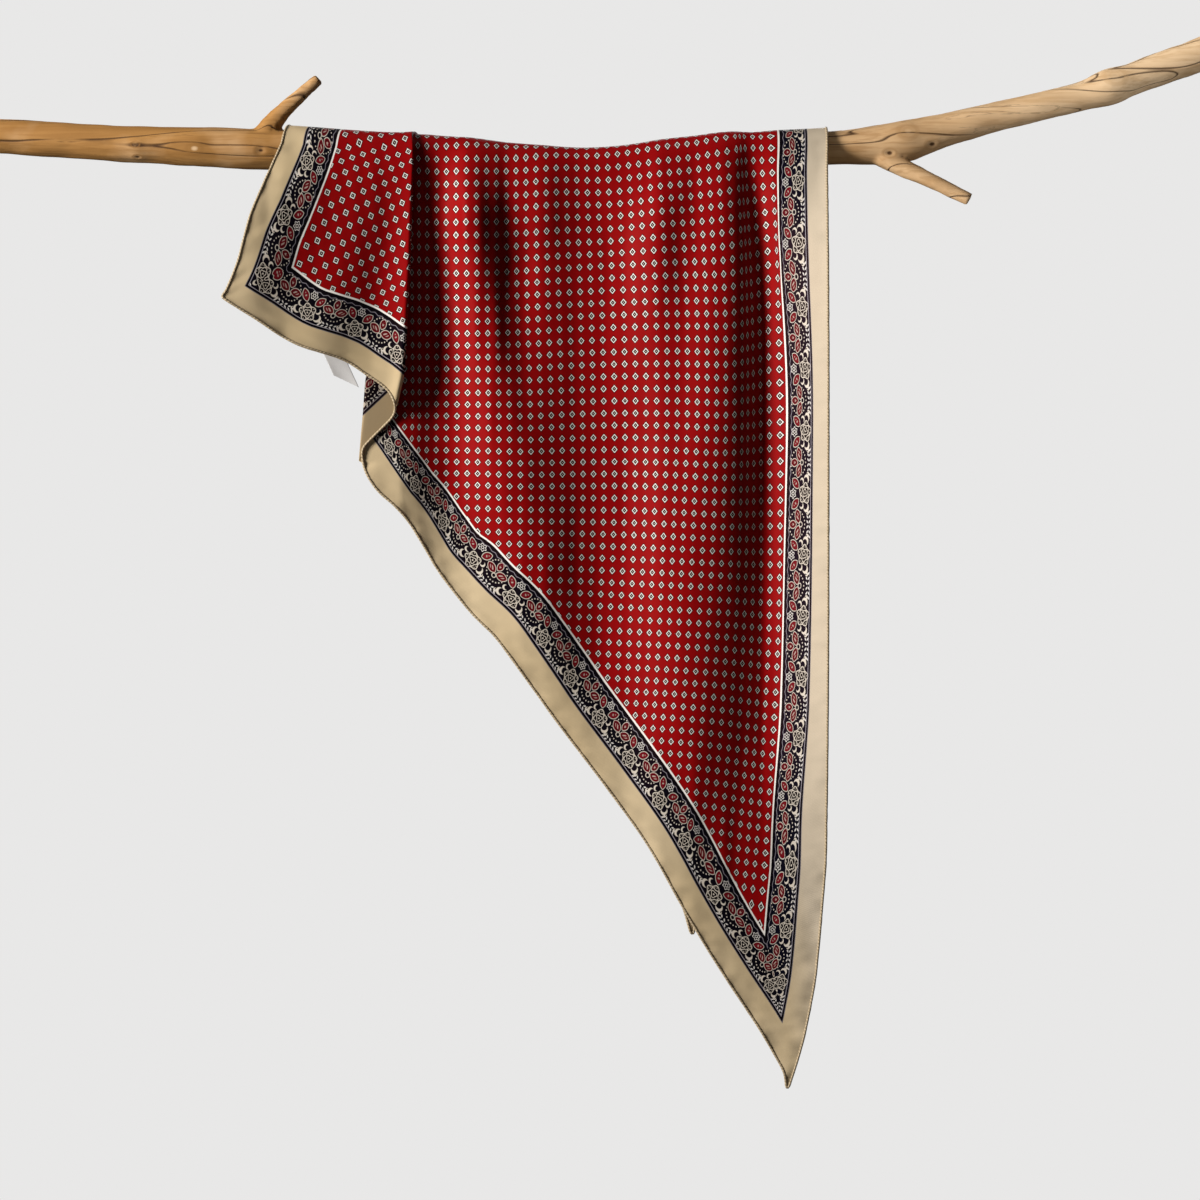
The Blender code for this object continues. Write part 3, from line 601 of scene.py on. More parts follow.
def nearest(points, line):
    """Distance of each point from a line of points, and how far along."""
    line = np.asarray(line, float)
    marks = lengths(line)
    best = np.full(len(points), np.inf)
    along = np.zeros(len(points))
    for a, b, mark in zip(line, line[1:], marks):
        step = b - a
        share = np.clip(((points - a) @ step) / (step @ step), 0, 1)
        distance = np.linalg.norm(points - a - share[:, None] * step, axis=1)
        closer = distance < best
        best[closer] = distance[closer]
        along[closer] = mark + share[closer] * np.linalg.norm(step)
    return best, along


OUTLINE_STEP = 4.0


def smooth_outline(table):
    """Points along an outline, as x and height."""
    drops = spaced(column(table, "drop")[0], column(table, "drop")[-1], OUTLINE_STEP)
    return np.stack([read(table, "drop", "x", drops), -drops], axis=1)


FLAP_HEM_LINE = smooth_outline(FLAP_HEM)
FLAP_SIDE_LINE = smooth_outline(FLAP_SIDE)
LEG_LINE = smooth_outline(FRONT_LEG)
LEG_LINE = np.vstack([[HIDDEN_LEG], LEG_LINE[LEG_LINE[:, 1] < -STRAIGHT_FROM]])
HIDDEN_LENGTH = lengths(LEG_LINE)[1] - STRAIGHT_LENGTH
EDGE_LINE = smooth_outline(LONG_EDGE)


def drawn(seen, hem, border):
    """Distance in from an edge of the flat cloth, for one seen in the drape."""
    band = BEIGE_WIDTH + (seen - hem) * (BORDER_WIDTH - BEIGE_WIDTH) / (border - hem)
    inner = BORDER_WIDTH + (seen - border) * FIELD_STRETCH
    return np.where(seen < hem, seen * BEIGE_WIDTH / hem, np.where(seen < border, band, inner))


def bands(table, key, at):
    """Seen widths of the plain hem band, and of it with the border."""
    return [read(table, key, name, at) for name in ("hem", "border")]


def outline_points(plan, drop):
    """x and height of the points of a plan, as the outlines give them."""
    return np.stack([plan[:, 0], np.full(len(plan), -drop)], axis=1)


def printed_columns(drop, x):
    """Distance in from the long edge, from where the printed columns hang."""
    right = read(LONG_EDGE, "drop", "x", drop)
    hem, border = bands(EDGE_SEEN, "drop", drop)
    marks = PRINT_COLUMNS[0][1:]
    places = [read(PRINT_COLUMNS, "drop", mark, drop) for mark in marks]
    stations = [right, right - hem, right - border, *places, places[-1] - FAR]
    values = [0.0, BEIGE_WIDTH, BORDER_WIDTH, *marks, marks[-1] + FAR * FIELD_STRETCH]
    return glide(stations[::-1], values[::-1], x)


def row_skew(drop, x):
    """How far the printed rows lie above the level at x."""
    across = [read(ROW_SKEW, "drop", name, drop) for name in ROW_SKEW[0][1:]]
    return glide(ROW_SKEW[0][1:], across, x)


def front_flat(drop, plan):
    """Places of the front panel's row in the flat cloth, for its field and
    for its border. u is in from the long edge, v up it."""
    x = plan[:, 0]
    last = int(np.argmin(x)) if drop > FOLD_END else len(x) - BEND_STEPS - 1
    u = printed_columns(drop, x)
    u[last:] = u[last] + lengths(plan[last:]) * FIELD_STRETCH
    v = TOP_ROW - ROWS_PER_DROP * drop + row_skew(drop, x)
    points = outline_points(plan, drop)
    from_leg, along = nearest(points, LEG_LINE)
    q_leg = drawn(from_leg, *bands(LEG_SEEN, "along", along - HIDDEN_LENGTH))
    from_edge, _ = nearest(points, EDGE_LINE)
    q_edge = drawn(from_edge, *bands(EDGE_SEEN, "drop", drop))
    # The border follows the leg near it, and both edges at the tip
    near_leg = ease((u - q_leg) / SHARE_WIDTH + 0.5) * ramp(drop, LEG_FROM, LEG_TO)
    border_u = mixed(u, v - q_leg * ROOT2, near_leg)
    tip = ramp(drop, TIP_FROM, TIP_TO)
    corner = ramp(drop, CORNER_FROM, CORNER_TO)
    both_u, both_v = q_edge, q_edge + q_leg * ROOT2
    return np.stack([
        mixed(u, both_u, tip), mixed(v, both_v, tip),
        mixed(border_u, both_u, corner), mixed(v, both_v, corner),
    ], axis=1)


def flap_flat(drop, plan):
    """The same for the flap: its border is drawn in from its hem and side."""
    points = outline_points(plan, drop)
    q_hem = read(FLAP_HEM_SEEN, "seen", "flat", nearest(points, FLAP_HEM_LINE)[0])
    from_side, _ = nearest(points, FLAP_SIDE_LINE)
    q_side = drawn(from_side, *bands(FLAP_SIDE_SEEN, "drop", drop))
    border_u = (LONG_SIDE - q_side * ROOT2 - q_hem * ROOT2) / 2
    across = (plan[:, 0] - FLAP_MIDDLE[0]) / FLAP_UNIT
    down = (drop - FLAP_MIDDLE[1]) / FLAP_UNIT + 0 * across
    terms = np.stack([
        np.ones(len(plan)), across, down, across * across, across * down, down * down,
    ])
    columns, rows = (np.array(row[1:]) @ terms for row in FLAP_LATTICE[1:])
    return np.stack([
        FLAP_U - LATTICE * columns, FLAP_V - LATTICE * rows,
        border_u, border_u + q_hem * ROOT2,
    ], axis=1)


def underside_flat(drop, plan):
    """The same for the turned strip, where the hem band's edge is straight."""
    start, end = np.array(STRIP_FROM), np.array(STRIP_TO)
    way = (end - start) / np.linalg.norm(end - start)
    points = outline_points(plan, drop) - start
    q = BEIGE_WIDTH - (points @ (-way[1], way[0])) * STRIP_SCALE
    place = leg_place(STRIP_PLACE - points @ way, q)
    return np.hstack([place, place])


# ------------------------------------------------------------------ meshes


def zip_rows(upper, lower, first_upper, first_lower):
    """Triangles between two rows of points, as vertex numbers."""
    faces = []
    i = j = 0
    while i < len(upper) - 1 or j < len(lower) - 1:
        step_upper = step_lower = math.inf
        if i < len(upper) - 1:
            step_upper = np.dot(upper[i + 1] - lower[j], upper[i + 1] - lower[j])
        if j < len(lower) - 1:
            step_lower = np.dot(lower[j + 1] - upper[i], lower[j + 1] - upper[i])
        if step_upper < step_lower:
            faces.append((first_upper + i, first_lower + j, first_upper + i + 1))
            i += 1
        else:
            faces.append((first_upper + i, first_lower + j, first_lower + j + 1))
            j += 1
    return faces


def loft(stretches):
    """Join the rows of each stretch into vertices, flat places and triangles."""
    points, flats, faces = [], [], []
    count = 0
    for rows in stretches:
        starts = []
        for _, row, flat in rows:
            starts.append(count)
            points.append(row)
            flats.append(flat)
            count += len(row)
        for k in range(len(rows) - 1):
            faces += zip_rows(rows[k][1], rows[k + 1][1], starts[k], starts[k + 1])
    return np.vstack(points), np.vstack(flats), faces


def new_mesh(name, verts, faces):
    mesh = bpy.data.meshes.new(name)
    mesh.from_pydata([tuple(v) for v in verts], [], faces)
    return mesh


def cloth_mesh(name, stretches, flip):
    """A welded mesh of the stretches, with both maps of the flat cloth."""
    points, flats, faces = loft(stretches)
    if flip:
        faces = [face[::-1] for face in faces]
    mesh = new_mesh(name, points, faces)
    corners = np.array([loop.vertex_index for loop in mesh.loops])
    for layer_name, first in (("flat cloth", 0), ("border", 2)):
        layer = mesh.uv_layers.new(name=layer_name)
        layer.data.foreach_set("uv", (flats[corners, first:first + 2] * MM).ravel())
    form = bmesh.new()
    form.from_mesh(mesh)
    bmesh.ops.remove_doubles(form, verts=form.verts, dist=WELD * MM)
    form.to_mesh(mesh)
    form.free()
    mesh.shade_smooth()
    return mesh


def add_object(name, data):
    obj = bpy.data.objects.new(name, data)
    bpy.context.scene.collection.objects.link(obj)
    return obj


def add_piece(name, mesh, *materials):
    """A new piece of the object, in its materials."""
    for material in materials:
        mesh.materials.append(material)
    return add_object(name, mesh)


def applied(obj):
    """Turn the object's modifiers into plain mesh."""
    depsgraph = bpy.context.evaluated_depsgraph_get()
    mesh = bpy.data.meshes.new_from_object(obj.evaluated_get(depsgraph))
    obj.modifiers.clear()
    old = obj.data
    obj.data = mesh
    bpy.data.meshes.remove(old)


def claim(obj, slot, *nodes):
    """The piece rides on the part's body and stands for these solids."""
    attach(obj, "root")
    if nodes:
        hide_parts(*nodes)


def front_rows():
    """Rows of the three stretches in front, from the top of the branch down:
    each is its drop, its points and their places in the flat cloth."""
    tip = column(FRONT_LEG, "drop")[-1] - EDGE_INSET
    above = [*WRAP_DROPS, *spaced(0.0, FOLD_END, ROW_STEP)[1:]]
    below = [*spaced(FOLD_END, tip, ROW_STEP)[1:]]
    beside_flap = [drop for drop in above if drop < STRIP_HEM - EDGE_INSET]
    stretches = []
    for drops, plan_of, flat_of in (
        (above + below, front_plan, front_flat),
        (above[:-1], underside_plan, underside_flat),
        (beside_flap, flap_plan, flap_flat),
    ):
        plans = [plan_of(drop) for drop in drops]
        stretches.append([
            (drop, on_cloth(-1, plan[:, 0], drop, plan[:, 1]), flat_of(drop, plan))
            for drop, plan in zip(drops, plans)
        ])
    return stretches


def crest_row(stretches):
    """The topmost row of the front as one, and its places in the flat cloth,
    which run on evenly over the fold."""
    first_rows = [rows[0] for rows in stretches]
    row = np.vstack([points[k > 0:] for k, (_, points, _) in enumerate(first_rows)])
    flat = np.vstack([places[k > 0:, 2:] for k, (_, _, places) in enumerate(first_rows)])
    steps = np.arange(len(row))
    start, fold, end = 0, len(first_rows[0][1]) - 1, len(row) - 1
    flat[:, 0] = np.interp(steps, [start, end], flat[[start, end], 0])
    beyond = steps >= fold
    flat[beyond, 1] = np.interp(steps[beyond], [fold, end], flat[[fold, end], 1])
    return row, flat


def back_rows(crest, crest_flat):
    """Rows of the back panel. The first is the front's, so that they meet."""

    def plain_flat(share, down):
        """The place in the flat cloth at a share across and a share down."""
        edge_v, leg_v = (v + (LONG_SIDE - v) * down for v in crest_flat[[0, -1], 1])
        u = EDGE_INSET + (LONG_SIDE - leg_v - EDGE_INSET) * share
        return np.stack([u, edge_v + (leg_v - edge_v) * share], axis=1)

    tip = column(BACK_LEFT, "drop")[-1] - EDGE_INSET
    x, z = crest[:, 0] / MM, crest[:, 2] / MM
    crest_share = (x[0] - x) / (x[0] - x[-1])
    crest_lift = z - read(BRANCH, "x", "z", x) - skin(x)
    lift_step = crest_lift - back_lift(x, CREST_DROP, x[-1], x[0])
    flat_step = crest_flat - plain_flat(crest_share, 0.0)
    rows = [(CREST_DROP, crest, np.hstack([crest_flat, crest_flat]))]
    for drop in (*WRAP_DROPS[1:], *spaced(0.0, tip, ROW_STEP)[1:]):
        left = read(BACK_LEFT, "drop", "x", drop) + SIDE_INSET
        right = max(read(BACK_RIGHT, "drop", "x", drop) - EDGE_INSET, left + BACK_LEAST)
        xs = spaced(right, left, COLUMN_STEP)
        share = (right - xs) / (right - left)
        fade = 1 - ease((drop - CREST_DROP) / BACK_BLEND)
        lift = back_lift(xs, drop, left, right) + fine_lift(xs, drop, seed=5.0)
        lift += pucker(right - xs, drop, seed=14.0) + pucker(xs - left, drop, seed=15.0)
        lift = lift + fade * np.interp(share, crest_share, lift_step)
        flat = plain_flat(share, (drop - CREST_DROP) / (tip - CREST_DROP))
        for k in (0, 1):
            flat[:, k] += fade * np.interp(share, crest_share, flat_step[:, k])
        rows.append((drop, on_cloth(1, xs, drop, lift), np.hstack([flat, flat])))
    return rows


# ------------------------------------------------- sums worked by the shader


class Field:
    """A number that the shader works out at each point of the surface."""

    def __init__(self, tree, socket):
        self.tree = tree
        self.socket = socket

    def math(self, operation, *others, clamp=False):
        node = self.tree.nodes.new("ShaderNodeMath")
        node.operation = operation
        node.use_clamp = clamp
        for slot, value in zip(node.inputs, (self, *others)):
            if isinstance(value, Field):
                self.tree.links.new(value.socket, slot)
            else:
                slot.default_value = value
        return Field(self.tree, node.outputs[0])

    def __add__(self, other):
        return self.math("ADD", other)

    def __sub__(self, other):
        return self.math("SUBTRACT", other)

    def __mul__(self, other):
        return self.math("MULTIPLY", other)

    def __truediv__(self, other):
        return self.math("DIVIDE", other)

    __radd__ = __add__

    def __rsub__(self, other):
        return self.math("MULTIPLY_ADD", -1.0, other)

    def abs(self):
        return self.math("ABSOLUTE")

    def fract(self):
        return self.math("FRACT")

    def low(self, other):
        return self.math("MINIMUM", other)

    def high(self, other):
        return self.math("MAXIMUM", other)

    def above(self, edge, soft=0.25):
        """1 above the edge and 0 below it, over a soft step."""
        return self.math("MULTIPLY_ADD", 1 / soft, 0.5 - edge / soft, clamp=True)

    def below(self, edge, soft=0.25):
        """1 below the edge and 0 above it, over a soft step."""
        return self.math("MULTIPLY_ADD", -1 / soft, 0.5 + edge / soft, clamp=True)

    def within(self, centre, half, soft=0.25):
        """1 where the value is within half of the centre."""
        return (self - centre).abs().below(half, soft)


def hypot(a, b):
    return (a * a + b * b).math("SQRT")


def paint(tree, under, colour, mask, blend="MIX"):
    """Lay a colour over another where the mask is 1."""
    node = tree.nodes.new("ShaderNodeMix")
    node.data_type = "RGBA"
    node.blend_type = blend
    if isinstance(mask, Field):
        tree.links.new(mask.socket, node.inputs["Factor"])
    else:
        node.inputs["Factor"].default_value = mask
    # A colour mix has its two colours in slots 6 and 7 and its result in 2
    for slot, value in ((node.inputs[6], under), (node.inputs[7], colour)):
        if isinstance(value, tuple):
            slot.default_value = (*value, 1.0)
        else:
            tree.links.new(value, slot)
    return node.outputs[2]


def coats(tree, colour, *layers):
    """Lay colours over the first one after another, each with its own mask."""
    for over, mask in layers:
        colour = paint(tree, colour, over, mask)
    return colour


def turned(x, y, degrees):
    """Coordinates in a frame turned by that angle."""
    c, s = math.cos(math.radians(degrees)), math.sin(math.radians(degrees))
    return x * c + y * s, y * c - x * s


def leaf_depth(x, y, length, width):
    """How far inside a pointed leaf: two arcs that meet at both tips."""
    half, rise = length / 2, width / 2
    arc = (half * half + rise * rise) / (2 * rise)
    return arc - hypot(x, y.abs() + (arc - rise))


# ---------------------------------------------------------------- colours

RED = (0.235, 0.0024, 0.0030)
HALO = (0.012, 0.0006, 0.0008)
HEART = (0.007, 0.0006, 0.0008)
NIGHT = (0.0022, 0.0030, 0.0080)
BLACK = (0.0022, 0.0020, 0.0032)
CREAM = (0.60, 0.53, 0.44)
WHITE = (0.78, 0.73, 0.67)
GREY_LILAC = (0.15, 0.14, 0.17)
PALE_LILAC = (0.34, 0.31, 0.34)
MOTIF_RED = (0.13, 0.0040, 0.0085)
BEIGE = (0.55, 0.43, 0.265)
# Paler, cooler beige for the long edge: painted sheen
SHEEN_BEIGE = (0.48, 0.405, 0.305)
GOLD = (0.48, 0.35, 0.18)
# Olive for the painted shade in the hem's grooves
SHADE_OLIVE = (0.13, 0.10, 0.045)
# Darker, warmer tint for the underside's copy of the print: painted shade
UNDERSIDE_SHADE = (0.5225, 0.495, 0.4675)

FIRST_ROSE = 93.3
LONG_REPEAT = (LONG_SIDE - 2 * FIRST_ROSE) / 26
LEG_REPEAT = (LEG - FIRST_ROSE - 39.0) / 19
REPEAT = 41.0

# How far in from the edge of the cloth the border's motifs and lines lie
CHAIN_AT, ROSE_AT, SPRAY_AT, BUD_AT, SCALLOPS_AT = 28.4, 33.0, 41.6, 47.0, 51.2
OUTER_LINE, OUTER_BAND, INNER_BAND, INNER_LINE = 26.0, 24.7, 52.7, 54.7
SPRAY_DOTS = 22
LINE_SOFT = 0.35


def line_at(value, half):
    """A drawn line where the value is near 0."""
    return value.abs().below(half, LINE_SOFT)


def rose(tree, colour, x, y):
    """An open rose drawn in cream: scalloped petals, hatched, round a heart."""
    radius = hypot(x, y)
    angle = y.math("ARCTAN2", x)
    outer = radius - (6.3 + (angle * 5.0 + 0.6).math("COSINE") * 0.8)
    middle = radius - (4.2 - (angle * 5.0 + 0.6).math("COSINE") * 0.6)
    hatch = (angle * 17.0).math("SINE").above(0.35, 0.9)
    veins = hatch * outer.within(-1.1, 0.6, 0.5)
    rings = line_at(outer, 0.33).high(line_at(middle, 0.30))
    inner = (angle * 3.0 - 0.4).math("COSINE")
    rings = rings.high(line_at(radius - (2.3 + inner * 0.5), 0.28))
    rings = rings.high(radius.below(0.6, 0.4))
    return coats(
        tree, colour, (BLACK, outer.below(0.6, 0.3)), (CREAM, veins * 0.55), (CREAM, rings),
    )


def crescent(x, y, radius):
    """A curled leaf: one disc without another beside it."""
    return hypot(x, y).below(radius, 0.35) * hypot(x + radius * 0.42, y - radius * 0.3).above(
        radius * 0.86, 0.35
    )


def border_motifs(tree, colour, a, b, q):
    """The flower border on its dark ground. a and b run along it from the
    rose and from the leaf spray, and q runs in from the edge of the cloth."""
    side = a.abs()
    reach = b.abs()
    # Leafy chain at the outer side, between the roses
    step = ((reach * 0.30).fract() - 0.5) * 3.3
    chain = leaf_depth(*turned(step, (q - CHAIN_AT).abs() - 1.2, 38), 2.9, 1.25)
    chain = chain.above(0.1, 0.35) * reach.below(9.5, 1.0) * 0.85
    # Curled leaves at both sides of the rose
    curl = crescent(side - 9.4, q - 31.3, 3.1).high(crescent(side - 8.2, q - 36.8, 2.2))
    curl = curl.high(crescent(side - 12.6, q - 29.6, 1.6))
    colour = rose(tree, coats(tree, colour, (WHITE, chain), (CREAM, curl)), a, q - ROSE_AT)
    # Two red pointed leaves toward the field, and a small flower between
    leaf = leaf_depth(*turned(side - 6.8, q - 44.2, 50), 9.0, 5.2)
    stipple = ((q + side) * 1.9).math("SINE").above(0.1, 0.8)
    bud = hypot(a, q - BUD_AT)
    bloom = bud - (2.7 + ((q - BUD_AT).math("ARCTAN2", a) * 6.0).math("COSINE") * 0.5)
    petals = line_at(bloom, 0.3).high(line_at(bud - 1.1, 0.26))
    colour = coats(
        tree, colour,
        (CREAM, line_at(leaf + 0.3, 0.22)),
        (MOTIF_RED, leaf.above(0.1, 0.3)),
        (CREAM, stipple * leaf.above(1.75, 0.5) * 0.5),
        (BLACK, bloom.below(0.3, 0.3)),
        (WHITE, petals * 0.85),
    )
    # The leaf spray: two red leaves along the border and one toward the field,
    # each outlined, in a ring of dots
    along = leaf_depth(*turned(reach - 5.4, q - 41.0, 16), 9.2, 5.8)
    across = leaf_depth(q - 46.4, b, 7.4, 4.8)
    spray = along.high(across)
    about = hypot(b, q - SPRAY_AT)
    turns = ((q - SPRAY_AT).math("ARCTAN2", b) * (SPRAY_DOTS / (2 * math.pi))).fract() - 0.5
    dots = hypot(about - 8.9, turns * 2.5).below(0.5, 0.35) * spray.below(-0.9, 0.3)
    small = hypot(b, q - 37.4)
    dots = dots.high(line_at(small - 1.7, 0.28) * spray.below(-0.6, 0.3))
    stipple = ((q - reach) * 2.1).math("SINE").above(0.1, 0.8)
    return coats(
        tree, colour,
        (CREAM, dots.high(line_at(spray + 0.25, 0.22))),
        (MOTIF_RED, spray.above(0.05, 0.3)),
        (BLACK, line_at(spray - 1.1, 0.22) * 0.9),
        (CREAM, stipple * spray.above(1.7, 0.5) * 0.55),
    )


def cloth_map(tree, layer="flat cloth"):
    """One of the maps that hold each point's place in the flat cloth."""
    node = tree.nodes.new("ShaderNodeUVMap")
    node.uv_map = layer
    return node.outputs[0]


def split(tree, vector, *scales):
    """The first parts of a vector as numbers, each times its scale."""
    parts = tree.nodes.new("ShaderNodeSeparateXYZ")
    tree.links.new(vector, parts.inputs[0])
    return [Field(tree, parts.outputs[k]) * scale for k, scale in enumerate(scales)]


def in_mm(tree, layer="flat cloth"):
    """(u, v) in millimetres from one of the cloth's maps."""
    return split(tree, cloth_map(tree, layer), 1 / MM, 1 / MM)


def field_colour(tree):
    """The field: a lattice of small diamonds, each with a light dot."""
    u, v = in_mm(tree)
    across = (u * (1 / LATTICE) + (0.5 - LATTICE_U / LATTICE % 1)).fract() - 0.5
    up = (v * (1 / LATTICE) + (0.5 - LATTICE_V / LATTICE % 1)).fract() - 0.5
    diamond = (across.abs() * 1.04 + up.abs()) * LATTICE
    dot = hypot(across, up) * LATTICE
    return coats(
        tree, RED,
        (HALO, diamond.below(3.3, 0.5)),
        (WHITE, diamond.below(2.55, 0.3)),
        (HEART, diamond.below(1.75, 0.3)),
        (CREAM, dot.below(0.42, 0.3) * 0.7),
    )


def print_colour(tree):
    """The printed design, worked out from the place in the flat cloth."""
    # Distance in from the nearest edge, and the place along it in repeats
    u, v = in_mm(tree, "border")
    root = 1 / ROOT2
    q_long = u
    q_legs = ((v - u) * root).low((LONG_SIDE - u - v) * root)
    q = q_long.low(q_legs)
    along_legs = ((u + v) * root).low((LONG_SIDE + u - v) * root)
    on_long = q_long.math("LESS_THAN", q_legs)
    s_long = v * (1 / LONG_REPEAT) - FIRST_ROSE / LONG_REPEAT
    s_legs = along_legs * (1 / LEG_REPEAT) - FIRST_ROSE / LEG_REPEAT
    s = s_legs + (s_long - s_legs) * on_long
    a = ((s + 0.5).fract() - 0.5) * REPEAT
    b = (s.fract() - 0.5) * REPEAT

    ground = paint(tree, NIGHT, BLACK, on_long.below(0.5) * 0.6)
    scallop = SCALLOPS_AT - ((s * 6.0).fract() - 0.5).abs() * 2.4
    # The plain hem band outside the border. The long edge lies another way on the weave, and its sheen
    # there is painted: the beige along it is made paler and cooler than on the legs
    tint = noise_field(tree, cloth_map(tree), 7.0, 2.0).above(0.5, 0.3)
    sheen_side = (q_legs - q_long).above(45.0, 80.0)
    beige = coats(tree, BEIGE, (GOLD, tint * 0.6), (SHEEN_BEIGE, sheen_side * 0.9))
    return coats(
        tree, border_motifs(tree, ground, a, b, q),
        (ground, s.below(-0.28, 0.05) * q.above(31.0)),
        (PALE_LILAC, line_at(q - scallop, 0.22) * 0.8),
        (field_colour(tree), q.above(BORDER_WIDTH, 0.3)),
        (BLACK, q.within(INNER_BAND, 1.0, 0.3)),
        (WHITE, q.within(INNER_LINE, 0.75, 0.3)),
        (PALE_LILAC, q.within(OUTER_LINE, 0.25, 0.3)),
        (BLACK, q.within(OUTER_BAND, 0.75, 0.3)),
        (beige, q.below(BEIGE_WIDTH, 0.3)),
        (GREY_LILAC, q.within(BEIGE_WIDTH, 0.3, 0.3) * 0.8),
    )


def new_material(name, roughness, specular=0.5):
    material = bpy.data.materials.new(name)
    material.use_nodes = True
    tree = material.node_tree
    shader = tree.nodes["Principled BSDF"]
    shader.inputs["Roughness"].default_value = roughness
    shader.inputs["Specular IOR Level"].default_value = specular
    return material, tree, shader


def bump(tree, shader, height, strength, distance):
    node = tree.nodes.new("ShaderNodeBump")
    node.inputs["Strength"].default_value = strength
    node.inputs["Distance"].default_value = distance
    tree.links.new(height.socket, node.inputs["Height"])
    tree.links.new(node.outputs[0], shader.inputs["Normal"])


def noise_field(tree, vector, scale, detail=3.0):
    node = tree.nodes.new("ShaderNodeTexNoise")
    node.inputs["Scale"].default_value = scale
    node.inputs["Detail"].default_value = detail
    if vector is not None:
        tree.links.new(vector, node.inputs["Vector"])
    return Field(tree, node.outputs["Fac"])


def satin_weave(tree, shader):
    """Fine twill lines of satin and a little unevenness of the yarns."""
    u, v = in_mm(tree)
    twill = ((u * 0.8 + v * 2.6) * 2.2).math("SINE")
    slub = noise_field(tree, cloth_map(tree), 260.0, 2.0)
    bump(tree, shader, twill * 0.25 + slub, 0.16, 0.0004)


def satin(name, shade=None):
    """Printed satin; for the underside a tint darkens and warms it, as painted shade on the reverse of
    the cloth.
    """
    material, tree, shader = new_material(name, 0.52, 0.05)
    colour = print_colour(tree)
    if shade:
        colour = paint(tree, colour, shade, 1.0, "MULTIPLY")
    tree.links.new(colour, shader.inputs["Base Color"])
    shader.inputs["Specular Tint"].default_value = (1.0, 0.3, 0.25, 1.0)
    satin_weave(tree, shader)
    return material


def hem_satin():
    """The rolled edge: beige satin with a slanting twist, and painted shade in the twist's grooves."""
    material, tree, shader = new_material("Rolled hem", 0.55, 0.15)
    run, turns = split(tree, cloth_map(tree), 1 / MM, 1)
    twist = ((run / 2.6 + turns) * (2 * math.pi)).math("SINE")
    groove_shade = twist.below(-0.2, 1.2)
    # Painted shade: the grooves of the twist are darkened toward olive
    colour = paint(tree, (0.47, 0.365, 0.235), SHADE_OLIVE, groove_shade * 0.5)
    tree.links.new(colour, shader.inputs["Base Color"])
    bump(tree, shader, twist, 0.25, 0.0003)
    return material


def thread():
    material, tree, shader = new_material("Hem thread", 0.6)
    shade = noise_field(tree, None, 90.0)
    colour = paint(tree, (0.28, 0.21, 0.12), (0.38, 0.29, 0.18), shade)
    tree.links.new(colour, shader.inputs["Base Color"])
    return material


def label_tape():
    material, tree, shader = new_material("White satin tape", 0.4)
    u, v = in_mm(tree)
    ribs = (u * 9.0).math("SINE") * 0.5 + (v * 5.0).math("SINE") * 0.5
    # Darker along both long sides: partly the heat-cut edges, partly painted shade along them
    edge = u.low(LABEL_WIDTH - u).below(0.7, 0.5)
    colour = paint(tree, (0.50, 0.485, 0.47), (0.36, 0.35, 0.34), edge * 0.6)
    tree.links.new(colour, shader.inputs["Base Color"])
    bump(tree, shader, ribs, 0.15, 0.0003)
    return material


# Knots of the branch: x, y, z, size and how dark the middle is
KNOTS = (
    ("x", "y", "z", "size", "dark"),
    (-235, -14.5, 11, 3.4, 1.0),
    (-287, -14.0, 12.6, 3.6, 0.0),
    (-334, -13.5, 15.7, 1.9, 0.9),
    (-333, -8.0, 6.5, 2.0, 0.8),
    (259, -14.0, 8.8, 3.0, 0.9),
    (292, -13.0, 16.4, 3.4, 0.9),
    (273, -15.5, 24.6, 4.4, 0.3),
    (436, -12.0, 69.0, 5.0, 0.3),
)


